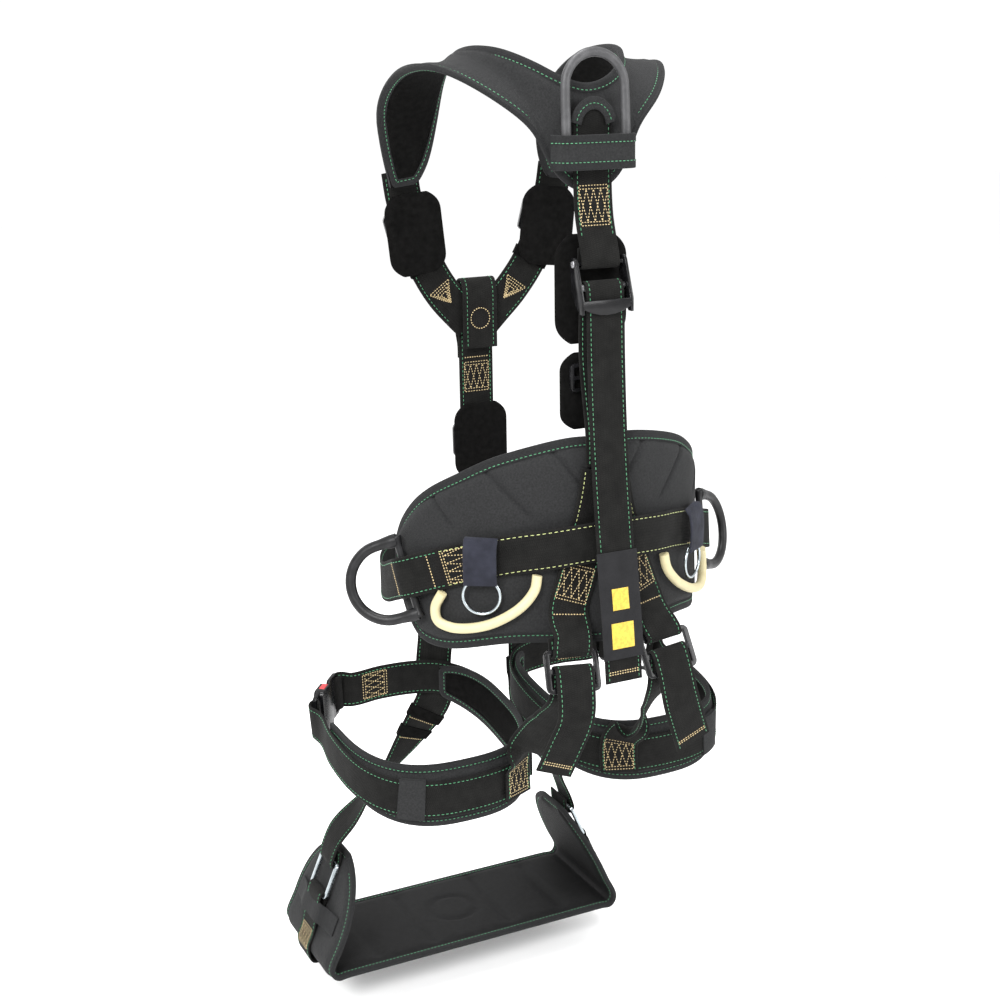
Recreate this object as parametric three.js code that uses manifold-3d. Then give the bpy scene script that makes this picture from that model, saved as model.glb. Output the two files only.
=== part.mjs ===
// Full-body climbing harness with a lumbar pad, leg loops and a seat sling.
// Millimetres, +Z up, the wearer faces -Y and the wearer's left is +X.
// The origin lies between the two shoulder tops, where the wearer carries the yoke.
import * as THREE from 'three';
import { mergeVertices } from 'three/addons/utils/BufferGeometryUtils.js';
import Module from 'manifold-3d';

const wasm = await Module();
wasm.setup();

const object = new THREE.Group();
const rad = THREE.MathUtils.degToRad;
const V = (x, y, z) => new THREE.Vector3(x, y, z);
const BACK = V(0, 1, 0);
const FRONT = V(0, -1, 0);
const UPRIGHT = V(0, 0, 1);

// ---- driving dimensions -------------------------------------------------
const WEB = 45;                 // webbing width
const PLY = 2.4;                // webbing thickness
const GAP = 0.5;                // clearance between touching pieces
const WAIST = { a: 187, back: 140, front: 160 };   // outer face of the lumbar pad
const LUMBAR_THICKNESS = 14;
const BELT = { backZ: -505, drop: 59 };            // belt centre line, low at the hips
const HIP_ANGLE = 73;           // where the side D-rings sit, degrees from the spine
const RING_BAR = 9;             // forged D-ring section
const LEG = { x: 130, y: -65, rx: 105, ry: 125, z: -785, tilt: 0.16, squareness: 2.7 };
const SEAT = { halfLength: 220, halfDepth: 90, y: -285, bottom: -1172, thickness: 12 };
const SEAT_PANEL = { inward: 62, rise: 143 };
const PIVOT = { x: 178, z: -1040 };                // upper bar of the seat links

// ---- materials ----------------------------------------------------------
const paint = (color, roughness, metalness = 0) =>
  new THREE.MeshStandardMaterial({ color, roughness, metalness });
const webbing = paint('#26262a', 0.85);
const padFabric = paint('#3f4142', 0.9);
const padLiner = paint('#1d1d1f', 0.95);
const navyWebbing = paint('#383e55', 0.85);
const creamTube = paint('#ebdca6', 0.7);
const forgedSteel = paint('#55565a', 0.5, 0.8);
const blackSteel = paint('#1c1c1e', 0.4, 0.7);
const rollerSteel = paint('#8d9094', 0.35, 0.9);
const platedSteel = paint('#c3c9cc', 0.25, 0.95);
const releaseRed = paint('#b3202a', 0.5);
const labelCloth = paint('#232326', 0.8);

// ---- shape helpers ------------------------------------------------------
function add(name, geometry, material, parent = object) {
  const mesh = new THREE.Mesh(geometry, material);
  mesh.name = name;
  parent.add(mesh);
  return mesh;
}

function mirrored(geometry) {
  const copy = geometry.clone();
  copy.scale(-1, 1, 1);
  const index = copy.index.array;
  for (let i = 0; i < index.length; i += 3) {
    [index[i], index[i + 1]] = [index[i + 1], index[i]];
  }
  copy.computeVertexNormals();
  return copy;
}

function addPair(name, geometry, material) {
  const left = indexed(geometry);
  add(`${name}_left`, left, material);
  add(`${name}_right`, mirrored(left), material);
}

function indexed(geometry) {
  const copy = geometry.clone();
  copy.deleteAttribute('normal');
  copy.deleteAttribute('uv');
  const merged = mergeVertices(copy, 1e-4);
  merged.computeVertexNormals();
  return merged;
}

function toSolid(geometry) {
  const merged = indexed(geometry);
  return new wasm.Manifold(new wasm.Mesh({
    numProp: 3,
    vertProperties: new Float32Array(merged.attributes.position.array),
    triVerts: new Uint32Array(merged.index.array),
  }));
}

function toGeometry(solid) {
  const mesh = solid.getMesh();
  const geometry = new THREE.BufferGeometry();
  geometry.setAttribute('position', new THREE.BufferAttribute(mesh.vertProperties, 3));
  geometry.setIndex(new THREE.BufferAttribute(mesh.triVerts, 1));
  geometry.computeVertexNormals();
  return geometry;
}

const joined = (...shapes) =>
  toGeometry(shapes.map(toSolid).reduce((sum, next) => sum.add(next)));
const cut = (shape, ...tools) =>
  toGeometry(tools.map(toSolid).reduce((rest, tool) => rest.subtract(tool), toSolid(shape)));

function signedVolume(positions, index) {
  const p = (k) => new THREE.Vector3().fromArray(positions, 3 * index[k]);
  let volume = 0;
  for (let i = 0; i < index.length; i += 3) volume += p(i).dot(p(i + 1).cross(p(i + 2))) / 6;
  return volume;
}

// A closed slab between two faces given as functions of u and v, both 0 to 1.
function slab(outer, inner, nu, nv, loop = false) {
  const positions = [];
  const index = [];
  const columns = loop ? nu : nu + 1;
  for (const face of [outer, inner]) {
    for (let i = 0; i < columns; i++) {
      for (let j = 0; j <= nv; j++) positions.push(...face(i / nu, j / nv).toArray());
    }
  }
  const at = (face, i, j) => (face * columns + (i % columns)) * (nv + 1) + j;
  const quad = (a, b, c, d) => index.push(a, b, c, a, c, d);
  for (let i = 0; i < nu; i++) {
    for (let j = 0; j < nv; j++) {
      quad(at(0, i, j), at(0, i + 1, j), at(0, i + 1, j + 1), at(0, i, j + 1));
      quad(at(1, i, j), at(1, i, j + 1), at(1, i + 1, j + 1), at(1, i + 1, j));
    }
    quad(at(1, i, 0), at(1, i + 1, 0), at(0, i + 1, 0), at(0, i, 0));
    quad(at(0, i, nv), at(0, i + 1, nv), at(1, i + 1, nv), at(1, i, nv));
  }
  if (!loop) {
    for (let j = 0; j < nv; j++) {
      quad(at(1, 0, j), at(0, 0, j), at(0, 0, j + 1), at(1, 0, j + 1));
      quad(at(0, nu, j), at(1, nu, j), at(1, nu, j + 1), at(0, nu, j + 1));
    }
  }
  if (signedVolume(positions, index) < 0) {
    for (let i = 0; i < index.length; i += 3) [index[i], index[i + 1]] = [index[i + 1], index[i]];
  }
  const geometry = new THREE.BufferGeometry();
  geometry.setAttribute('position', new THREE.Float32BufferAttribute(positions, 3));
  geometry.setIndex(index);
  return geometry;
}

const spline = (points, loop = false) => new THREE.CatmullRomCurve3(points, loop);

// Webbing swept along [point, facing] stations; facing is the way its outer face looks.
function strap(stations, { width = WEB, ply = PLY, per = 2, loop = false } = {}) {
  const path = spline(stations.map(([point]) => point), loop);
  const facing = spline(stations.map(([, face]) => face), loop);
  const frameAt = (u) => {
    const tangent = path.getTangent(u);
    const face = facing.getPoint(u).normalize();
    face.addScaledVector(tangent, -face.dot(tangent)).normalize();
    return { point: path.getPoint(u), face, side: tangent.clone().cross(face) };
  };
  const side = (depth) => (u, v) => {
    const { point, face, side: across } = frameAt(u);
    return point.addScaledVector(face, depth).addScaledVector(across, (v - 0.5) * width);
  };
  const spans = loop ? stations.length : stations.length - 1;
  return slab(side(ply / 2), side(-ply / 2), spans * per, 1, loop);
}

// Stations for webbing that arrives along `along`, rounds a bar and doubles back.
function wrap(bar, along, face, radius, back) {
  const stations = [];
  for (const angle of [90, 40, 0, -40, -90]) {
    const out = along.clone().multiplyScalar(Math.cos(rad(angle)))
      .addScaledVector(face, Math.sin(rad(angle)));
    stations.push([bar.clone().addScaledVector(out, radius), out]);
  }
  const under = face.clone().negate();
  stations.push([bar.clone().addScaledVector(under, radius - 0.5).addScaledVector(along, -back), under]);
  return stations;
}

// A value read off [position, value] pairs along a smooth curve.
function profile(pairs) {
  const curve = spline(pairs.map(([at, value]) => V(at, value, 0)));
  return (at) => {
    let low = 0;
    let high = 1;
    for (let i = 0; i < 24; i++) {
      const middle = (low + high) / 2;
      if (curve.getPoint(middle).x < at) low = middle;
      else high = middle;
    }
    return curve.getPoint(low).y;
  };
}

// Waist cross-section: `angle` in degrees from the spine, positive to the wearer's left.
function waist(angle, z, offset = 0) {
  const depth = Math.abs(angle) > 90 ? WAIST.front : WAIST.back;
  return V((WAIST.a + offset) * Math.sin(rad(angle)), (depth + offset) * Math.cos(rad(angle)), z);
}
const waistFacing = (angle) => {
  const depth = Math.abs(angle) > 90 ? WAIST.front : WAIST.back;
  return V(Math.sin(rad(angle)) / WAIST.a, Math.cos(rad(angle)) / depth, 0).normalize();
};
const beltZ = (angle) => {
  const turn = Math.min(Math.abs(angle), 100);
  return BELT.backZ - BELT.drop * (1 - Math.cos(rad(turn)));
};
// Leg loop plan: a rounded box, `angle` in degrees from the outer side towards the back.
const legZ = (y) => LEG.z - (y - LEG.y) * LEG.tilt;
const softPower = (value, power) => Math.sign(value) * Math.abs(value) ** power;
const legFacing = (angle) => {
  const power = 2 - 2 / LEG.squareness;
  const x = softPower(Math.cos(rad(angle)), power) / LEG.rx;
  const y = softPower(Math.sin(rad(angle)), power) / LEG.ry;
  return V(x, y, 0).normalize();
};
function legPoint(angle, offset = 0, lift = 0) {
  const power = 2 / LEG.squareness;
  const point = V(LEG.x + LEG.rx * softPower(Math.cos(rad(angle)), power),
    LEG.y + LEG.ry * softPower(Math.sin(rad(angle)), power), 0).addScaledVector(legFacing(angle), offset);
  point.z = legZ(point.y) + lift;
  return point;
}

function roundedRect(width, height, radius) {
  const shape = new THREE.Shape();
  const x = width / 2 - radius;
  const y = height / 2 - radius;
  shape.absarc(x, y, radius, 0, rad(90));
  shape.absarc(-x, y, radius, rad(90), rad(180));
  shape.absarc(-x, -y, radius, rad(180), rad(270));
  shape.absarc(x, -y, radius, rad(270), rad(360));
  return shape;
}

function plate(shape, thickness, curveSegments = 3) {
  const options = { depth: thickness, bevelEnabled: false, curveSegments };
  const geometry = new THREE.ExtrudeGeometry(shape, options);
  geometry.translate(0, 0, -thickness / 2);
  return geometry;
}

// Move a flat shape drawn in XY so that its X runs along `across` and its Y along `up`.
function place(geometry, point, across, up) {
  const x = across.clone().normalize();
  const z = x.clone().cross(up).normalize();
  const y = z.clone().cross(x);
  const matrix = new THREE.Matrix4().makeBasis(x, y, z).setPosition(point);
  return geometry.applyMatrix4(matrix);
}

const barAlongX = (radius, length, sides = 10) =>
  new THREE.CylinderGeometry(radius, radius, length, sides).rotateZ(Math.PI / 2);

// ---- shoulders and back -------------------------------------------------
const YOKE_THICKNESS = 9;
// Left half, spine to chest: the edge at the neck and the edge at the arm.
const YOKE_NECK = [
  V(0, 106, -34), V(26, 104, -27), V(50, 88, -12), V(70, 50, 2), V(78, 0, 5),
  V(75, -55, -4), V(68, -100, -32), V(65, -128, -75), V(72, -138, -118), V(84, -141, -142),
];
const YOKE_ARM = [
  V(0, 112, -142), V(30, 111, -129), V(47, 110, -106), V(62, 106, -76), V(96, 90, -46),
  V(128, 48, -20), V(143, 0, -13), V(145, -62, -25), V(143, -110, -62), V(118, -140, -146),
];

function yokeGeometry() {
  const mirror = (point) => V(-point.x, point.y, point.z);
  const whole = (half) => spline([...half.slice().reverse(), ...half.slice(1).map(mirror)]);
  const neck = whole(YOKE_NECK);
  const arm = whole(YOKE_ARM);
  const crown = (v) => 1 - (2 * v - 1) ** 4 * 0.35;
  const outward = (u) => {
    const along = neck.getTangent(u).add(arm.getTangent(u));
    return arm.getPoint(u).sub(neck.getPoint(u)).cross(along).normalize();
  };
  const face = (sign) => (u, v) => {
    const point = neck.getPoint(u).lerp(arm.getPoint(u), v);
    return point.addScaledVector(outward(u), sign * crown(v) * YOKE_THICKNESS / 2);
  };
  return slab(face(-1), face(1), 40, 3);
}
add('yoke', yokeGeometry(), padFabric);

const PLATE_FACE = 115.5;       // outer face of the yoke over the spine
const DORSAL_BAR = V(0, 126.5, -93);
const BUCKLE_TOP = V(0, 131, -212);

function dorsalWebGeometry() {
  const down = V(0, 0, -1);
  const y = PLATE_FACE + GAP + PLY / 2 + 0.4;
  return strap([
    [V(0, y, -58), BACK], [V(0, y, -90), BACK],
    [V(0, y + 0.4, -130), BACK], [V(0, y + 4, -165), BACK],
    ...wrap(BUCKLE_TOP, down, BACK, 4.6, 16),
  ]);
}
add('dorsal_web', dorsalWebGeometry(), webbing);

// Forged D: straight bar at y = 0, round bow above it, in the XY plane.
function dRingShape(width, height, section) {
  const outer = new THREE.Shape();
  const radius = width / 2;
  outer.moveTo(-radius, 0);
  outer.lineTo(radius, 0);
  outer.absarc(0, height - radius, radius, 0, Math.PI);
  outer.lineTo(-radius, 0);
  const hole = new THREE.Path();
  const inside = radius - section;
  hole.moveTo(inside, section);
  hole.lineTo(-inside, section);
  hole.absarc(0, height - radius, inside, Math.PI, 0, true);
  hole.lineTo(inside, section);
  outer.holes.push(hole);
  return outer;
}
const DORSAL_LEAN = rad(3);
function dorsalRingGeometry() {
  const ring = plate(dRingShape(78, 97, 10), RING_BAR - 1, 8);
  ring.translate(0, -5, 0);
  return ring.rotateX(Math.PI / 2 + DORSAL_LEAN).translate(DORSAL_BAR.x, DORSAL_BAR.y, DORSAL_BAR.z);
}
add('dorsal_d_ring', dorsalRingGeometry(), forgedSteel);

function coverBandGeometry() {
  const halfTop = 48;
  const halfBottom = 44;
  const top = -83;
  const bottom = -117;
  const face = (offset) => (u, v) => {
    const across = 2 * u - 1;
    const half = THREE.MathUtils.lerp(halfTop, halfBottom, v);
    const bulge = 18.5 * Math.min(1, 9 * (1 - Math.abs(across)));
    return V(half * across, PLATE_FACE + 2.2 + bulge + offset, THREE.MathUtils.lerp(top, bottom, v));
  };
  return slab(face(1.2), face(-1.2), 24, 1);
}
add('dorsal_cover_band', coverBandGeometry(), padFabric);

// Adjuster: two cheeks that swing on the top pin, a lip plate, and a free roller.
const CHEEK_X = 29;
const ROLLER = V(0, 137, -236);
function adjusterFrameGeometry() {
  const cheek = new THREE.Shape();
  cheek.absarc(0, 0, 7, rad(10), rad(170));
  cheek.lineTo(-4, -30);
  cheek.lineTo(13, -50);
  cheek.lineTo(20, -50);
  cheek.lineTo(20, -36);
  const cheeks = [-1, 1].map((side) => {
    const blade = plate(cheek, 3, 4);
    return blade.applyMatrix4(new THREE.Matrix4().makeBasis(V(0, 1, 0), V(0, 0, 1), V(1, 0, 0)))
      .translate(side * CHEEK_X, BUCKLE_TOP.y, BUCKLE_TOP.z);
  });
  const pin = barAlongX(2.6, 2 * CHEEK_X + 1).translate(0, BUCKLE_TOP.y, BUCKLE_TOP.z);
  const lip = new THREE.Shape();
  lip.moveTo(-CHEEK_X, 6);
  lip.lineTo(CHEEK_X, 6);
  lip.lineTo(CHEEK_X, -2);
  lip.quadraticCurveTo(0, -18, -CHEEK_X, -2);
  const lipCenter = V(0, BUCKLE_TOP.y + 17.5, BUCKLE_TOP.z - 42);
  const lipPlate = place(plate(lip, 2.4, 6), lipCenter, V(1, 0, 0), UPRIGHT);
  return joined(...cheeks, pin, lipPlate);
}
add('adjuster_frame', adjusterFrameGeometry(), blackSteel);
const roller = indexed(barAlongX(4, 2 * CHEEK_X - 5, 12));
add('adjuster_roller', roller.translate(ROLLER.x, ROLLER.y, ROLLER.z), rollerSteel);

// Back webbing: sewn to the lumbar pad, up round the roller and down again as a free tail.
const TAIL = [V(-1, 143.6, -268), V(-1, 145, -310), V(-1, 148.5, -370), V(-1, 155, -435),
  V(-1, 166, -520), V(-1, 178, -600), V(-1, 184, -655)];
function backStrapGeometry() {
  const around = wrap(ROLLER, V(0, 0, 1), FRONT, 5.9, 0).slice(0, 5);
  return strap([
    [V(0, 142.8, -424), FRONT], [V(0, 142.8, -405), FRONT], [V(0, 141.8, -386), FRONT],
    [V(0, 135, -350), FRONT], [V(0, 128.6, -312), FRONT], [V(0, 128.6, -270), FRONT],
    ...around, ...TAIL.map((point) => [point, BACK]),
  ]);
}
add('back_strap', backStrapGeometry(), webbing);

function labelGeometry() {
  const tail = spline(TAIL);
  const stations = [0.655, 0.74, 0.83, 0.92].map((u) => {
    const along = tail.getTangent(u);
    const face = BACK.clone().addScaledVector(along, -along.y).normalize();
    return [tail.getPoint(u).addScaledVector(face, PLY / 2 + 0.8 + GAP), face];
  });
  return strap(stations, { width: 49, ply: 1.6 });
}
add('label_tag', labelGeometry(), labelCloth);

// Pads behind the buckles: rounded tongues with a slight crown.
function tonguePad(center, width, height, thickness, facing, tilt = 0) {
  const half = (v) => {
    const end = Math.abs(2 * v - 1);
    return (width / 2) * (end < 0.6 ? 1 : Math.sqrt(Math.max(0, 1 - ((end - 0.6) / 0.42) ** 2)));
  };
  const up = V(Math.sin(tilt), 0, Math.cos(tilt));
  const across = up.clone().cross(facing).normalize();
  const face = (sign) => (u, v) => {
    const w = half(u) * (2 * v - 1);
    const crown = 1 - 0.5 * (2 * v - 1) ** 4;
    return center.clone().addScaledVector(up, (u - 0.5) * height).addScaledVector(across, w)
      .addScaledVector(facing, sign * crown * thickness / 2);
  };
  return slab(face(1), face(-1), 12, 3);
}
add('back_pad_upper', tonguePad(V(0, 114, -240), 92, 122, 10, BACK), padLiner);
add('back_pad_lower', tonguePad(V(0, 117, -347), 84, 88, 10, BACK), padLiner);

function threeBarBuckle(width, height, section) {
  const shape = roundedRect(width, height, section + 1.3);
  const slotHeight = (height - 3 * section) / 2;
  for (const side of [-1, 1]) {
    const slot = new THREE.Path();
    const x = width / 2 - section;
    const y = side * (section / 2 + slotHeight / 2);
    slot.moveTo(-x, y - slotHeight / 2);
    slot.lineTo(x, y - slotHeight / 2);
    slot.lineTo(x, y + slotHeight / 2);
    slot.lineTo(-x, y + slotHeight / 2);
    slot.closePath();
    shape.holes.push(slot);
  }
  return shape;
}

// A small frame whose middle bar the back webbing runs behind.
function lowerBuckleGeometry() {
  const frame = plate(threeBarBuckle(62, 30, 4), 3.5);
  return place(frame, V(0, 125.2, -331), V(1, 0, 0), V(0, -0.04, 1));
}
add('lower_back_buckle', lowerBuckleGeometry(), blackSteel);

// ---- lumbar pad and belt ------------------------------------------------
const FLARE = 17;               // the pad's lower half stands away from the belt line
const flare = (angle, z) => {
  const below = Math.max(0, (beltZ(angle) - z) / 115);
  return FLARE * below ** 1.5 * Math.max(0, Math.cos(rad(angle))) ** 2;
};
const padTop = profile([
  [-1, -394], [12, -393], [36, -408], [52, -428], [69, -453], [84, -490], [92, -522],
]);
const padBottom = profile([
  [-1, -620], [30, -614], [58, -626], [70, -623], [80, -602], [87, -572], [92, -546],
]);

function lumbarGeometry() {
  const face = (offset) => (u, v) => {
    const angle = THREE.MathUtils.lerp(-92, 92, u);
    const turn = Math.min(91.5, Math.abs(angle));
    const z = THREE.MathUtils.lerp(padBottom(turn), padTop(turn), v);
    return waist(angle, z, offset + flare(angle, z));
  };
  return slab(face(0), face(-LUMBAR_THICKNESS), 32, 4);
}
add('lumbar_pad', lumbarGeometry(), padFabric);

const BELT_OFFSET = profile([
  [-1, 12.4], [20, 12.4], [30, 7], [40, 4.2], [53, 4.2], [60, 6.5], [66, 10.5], [70, 17], [73, 18.4],
  [76, 17], [80, 10.5], [86, 6.5], [96, 4.2], [150, 4.2], [210, 4.2],
]);
const beltPoint = (angle, lift = 0, extra = 0) =>
  waist(angle, beltZ(angle) + lift, BELT_OFFSET(Math.abs(angle)) + extra);

const WAIST_BUCKLE_ANGLE = -138;
const buckleAcross = (angle) => waist(angle + 1, 0).sub(waist(angle - 1, 0)).normalize();
const waistBuckleCenter = waist(WAIST_BUCKLE_ANGLE, beltZ(100), 5.5);
const waistAcross = buckleAcross(WAIST_BUCKLE_ANGLE);
const BUCKLE_BAR = 32.75;       // strap bars, left and right of a quick-connect buckle's centre

// Webbing whose ends double back round a buckle's two outer bars.
function strapBetweenBars(center, across, face, middle) {
  const end = (bar, [neighbour], inward) => {
    const along = bar.clone().sub(neighbour).normalize().lerp(inward, 0.65).normalize();
    const out = face.clone().addScaledVector(along, -face.dot(along)).normalize();
    const lead = bar.clone().addScaledVector(along, -8).addScaledVector(out, 4.9);
    return [[lead, out], ...wrap(bar, along, out, 5, 5)];
  };
  const startBar = center.clone().addScaledVector(across, BUCKLE_BAR);
  const endBar = center.clone().addScaledVector(across, -BUCKLE_BAR);
  const first = end(startBar, middle[0], across.clone().negate()).reverse();
  return strap([...first, ...middle, ...end(endBar, middle[middle.length - 1], across)]);
}

function beltGeometry() {
  const middle = [];
  for (const angle of [-118, -106, -95, -86, -80, -76, -73, -70, -66, -61, -54, -42, -30, -20, -10, 0,
    10, 20, 30, 42, 54, 61, 66, 70, 73, 76, 80, 86, 95, 106, 118, 134, 150, 165, 180, 192, 202]) {
    middle.push([beltPoint(angle), waistFacing(angle)]);
  }
  return strapBetweenBars(waistBuckleCenter, waistAcross, waistFacing(WAIST_BUCKLE_ANGLE), middle);
}
add('waist_belt', beltGeometry(), webbing);

function hipFrame() {
  const normal = waistFacing(HIP_ANGLE);
  const onBelt = (angle) => waist(angle, beltZ(angle));
  const forward = onBelt(HIP_ANGLE + 1).sub(onBelt(HIP_ANGLE - 1)).normalize();
  const up = forward.clone().cross(normal).normalize();
  if (up.z < 0) up.negate();
  return { normal, forward, up, bar: waist(HIP_ANGLE, beltZ(HIP_ANGLE), 9.6) };
}
const HIP = hipFrame();
const HIP_SWING = rad(55);      // the rings rest turned forward from straight out
function hipRingGeometry() {
  const ring = plate(dRingShape(92, 69, RING_BAR), RING_BAR - 1, 8);
  ring.translate(0, -RING_BAR / 2, 0);
  const out = HIP.normal.clone().multiplyScalar(Math.cos(HIP_SWING))
    .addScaledVector(HIP.forward, Math.sin(HIP_SWING));
  return place(ring, HIP.bar, HIP.up, out);
}
addPair('hip_d_ring', hipRingGeometry(), forgedSteel);

const backing = [58, 64, 73, 82, 88].map((angle) => [waist(angle, beltZ(angle), 2.2), waistFacing(angle)]);
addPair('hip_ring_backing', strap(backing, { ply: 2 }), webbing);

const GEAR_LOOP_RADIUS = 5.5;
function gearLoopGeometry() {
  const route = [
    [57, 5.5], [60, 18], [59, 33], [54, 43], [47, 48], [38, 47], [29, 35], [24.5, 19], [23.5, 5.5],
  ];
  const points = route.map(([angle, below]) => {
    const z = beltZ(angle) - WEB / 2 - GAP - below;
    return waist(angle, z, 8.5 + flare(angle, z));
  });
  const section = new THREE.Shape();
  section.absarc(0, 0, GEAR_LOOP_RADIUS, 0, 2 * Math.PI);
  return new THREE.ExtrudeGeometry(section, {
    steps: 22, curveSegments: 4, extrudePath: new THREE.CatmullRomCurve3(points), bevelEnabled: false,
  });
}
addPair('gear_loop', gearLoopGeometry(), creamTube);

const TAB_ANGLE = 42;
const tabAt = (lift, offset) =>
  [waist(TAB_ANGLE, beltZ(TAB_ANGLE) + lift, offset), waistFacing(TAB_ANGLE)];
addPair('ring_tab', strap([
  [waist(TAB_ANGLE, beltZ(TAB_ANGLE) + 25, 6.5), UPRIGHT], tabAt(22, 12.5), tabAt(8, 16),
  tabAt(-10, 16.2), tabAt(-25, 15.6),
], { width: 36, ply: 2 }), navyWebbing);

const GEAR_RING = { radius: 20, wire: 1.6 };
function gearRingGeometry() {
  const ring = new THREE.TorusGeometry(GEAR_RING.radius, GEAR_RING.wire, 6, 24);
  const top = waist(TAB_ANGLE, beltZ(TAB_ANGLE) - 18, 11);
  const across = buckleAcross(TAB_ANGLE);
  return place(ring, top.add(V(0, 0, -GEAR_RING.radius)), across, UPRIGHT);
}
addPair('gear_ring', gearRingGeometry(), platedSteel);

// ---- quick-connect buckles ----------------------------------------------
// Drawn flat: the tongue slides into the body from the -X side; the release button is on top.
const POCKET = { depth: 24, width: 36, height: 5 };
const box = (x, y, z, at) => new THREE.BoxGeometry(x, y, z).translate(at.x, at.y, at.z);
const STRAP_SLOT = { x: 26.3, width: 8.4, length: 47.6 };
const KEYWAY = { x: 4, width: 14.6, floor: 19.5 };
function buckleBody() {
  const shell = plate(roundedRect(28, 56, 6), 12).translate(8, 0, 0);
  const frame = plate(roundedRect(30, 55, 5), 4).translate(20, 0, 0);
  const slot = box(STRAP_SLOT.width, STRAP_SLOT.length, 10, V(STRAP_SLOT.x, 0, 0));
  const pocket = box(POCKET.depth + 2, POCKET.width, POCKET.height, V(POCKET.depth / 2 - 8, 0, 0));
  const keyway = box(KEYWAY.width, 15, 8, V(KEYWAY.x, KEYWAY.floor + 7.5, 0));
  return cut(joined(shell, frame), slot, pocket, keyway);
}
function buckleTongue() {
  const frame = plate(roundedRect(26, 55, 5), 4).translate(-22, 0, 0);
  const window = box(STRAP_SLOT.width, STRAP_SLOT.length, 10, V(-STRAP_SLOT.x, 0, 0));
  const nose = box(24, 34, 3.4, V(-1.5, 0, 0));
  return cut(joined(frame, nose), window);
}
const buckleRelease = () => plate(roundedRect(13.6, 5, 1.5), 7).translate(KEYWAY.x, 25.6, 0);

function addBuckle(name, center, across, normal, pairUp) {
  const up = normal.clone().cross(across);
  const place3 = (geometry) => place(geometry, center, across, up);
  const pieces = { body: buckleBody(), tongue: buckleTongue(), release: buckleRelease() };
  for (const [part, geometry] of Object.entries(pieces)) {
    const put = place3(geometry);
    const material = part === 'release' ? releaseRed : blackSteel;
    if (pairUp) addPair(`${name}_${part}`, put, material);
    else add(`${name}_${part}`, indexed(put), material);
  }
}
addBuckle('waist_buckle', waistBuckleCenter, waistAcross, waistFacing(WAIST_BUCKLE_ANGLE), false);

// ---- chest --------------------------------------------------------------
const CHEST_Y = -166;
addPair('chest_pad', tonguePad(V(86, -145, -201), 76, 100, 10, FRONT, rad(6)), padLiner);
function chestStrapGeometry(side) {
  const deeper = side > 0 ? 0 : 3.2;
  const at = (x, y, z, deep = 0) => [V(side * x, y - deep, z), FRONT];
  return strap([
    at(101, -152, -128), at(96, -153, -160), at(84, -154, -200), at(68, -157, -240),
    at(46, -161, -274, deeper / 2), at(24, -163, -298, deeper), at(10, -163.5, -312, deeper),
  ]);
}
add('chest_strap_left', chestStrapGeometry(1), webbing);
add('chest_strap_right', chestStrapGeometry(-1), webbing);

// A frame over the chest strap, with a grip plate standing on its lower bar.
function chestBuckleGeometry() {
  const frame = plate(threeBarBuckle(60, 40, 5), 4);
  const grip = box(44, 9, 5, V(0, -12, -4.4));
  return place(joined(frame, grip), V(87, -160, -192), V(-1, 0, 0.26), V(0.26, 0, 1));
}
addPair('chest_buckle', chestBuckleGeometry(), blackSteel);

// Loop on the breastbone: inner strip, over the top, and a free bight at the front.
add('sternal_loop', strap([
  [V(0, -157, -343), BACK], [V(0, -157, -300), BACK], [V(0, -157, -273), BACK],
  [V(0, -162, -261), V(0, 0.5, 0.9)], [V(0, -171, -261), V(0, -0.5, 0.9)],
  [V(0, -180, -275), FRONT], [V(0, -184, -300), FRONT], [V(0, -180, -325), FRONT],
  [V(0, -175, -341), FRONT], [V(0, -174.6, -356), FRONT],
]), webbing);

add('front_center_strap', strap([
  [V(0, -171.2, -290), FRONT], [V(0, -171.2, -330), FRONT], [V(0, -171, -360), FRONT],
  [V(0, -171, -430), FRONT], [V(0, -170.5, -498), FRONT], [V(0, -167, -518), FRONT],
  [V(0, -160.6, -538), FRONT], [V(0, -159.6, -560), FRONT], [V(0, -159.6, -588), FRONT],
]), webbing);
add('front_center_pad', tonguePad(V(0, -161, -458), 76, 100, 10, FRONT), padLiner);
const centerBuckle = plate(threeBarBuckle(62, 42, 5), 4);
add('front_center_buckle', place(centerBuckle, V(0, -175.2, -458), V(-1, 0, 0), UPRIGHT), blackSteel);

// ---- rear risers and slides ---------------------------------------------
const SLIDE = {
  center: V(59, 178, -634), up: V(-0.1, -0.4, 0.91).normalize(), bar: 20.5, width: 64, height: 47,
};
const slideLean = V(0, 0.915, 0.4);
const slideFace = slideLean.clone().addScaledVector(SLIDE.up, -slideLean.dot(SLIDE.up)).normalize();
const slideAcross = SLIDE.up.clone().cross(slideFace);
const slideBar = (step) => SLIDE.center.clone().addScaledVector(SLIDE.up, step * SLIDE.bar);
const slideFrame = plate(threeBarBuckle(SLIDE.width, SLIDE.height, 6), 4.6);
addPair('slide_adjuster', place(slideFrame, SLIDE.center, slideAcross, SLIDE.up), blackSteel);

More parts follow.
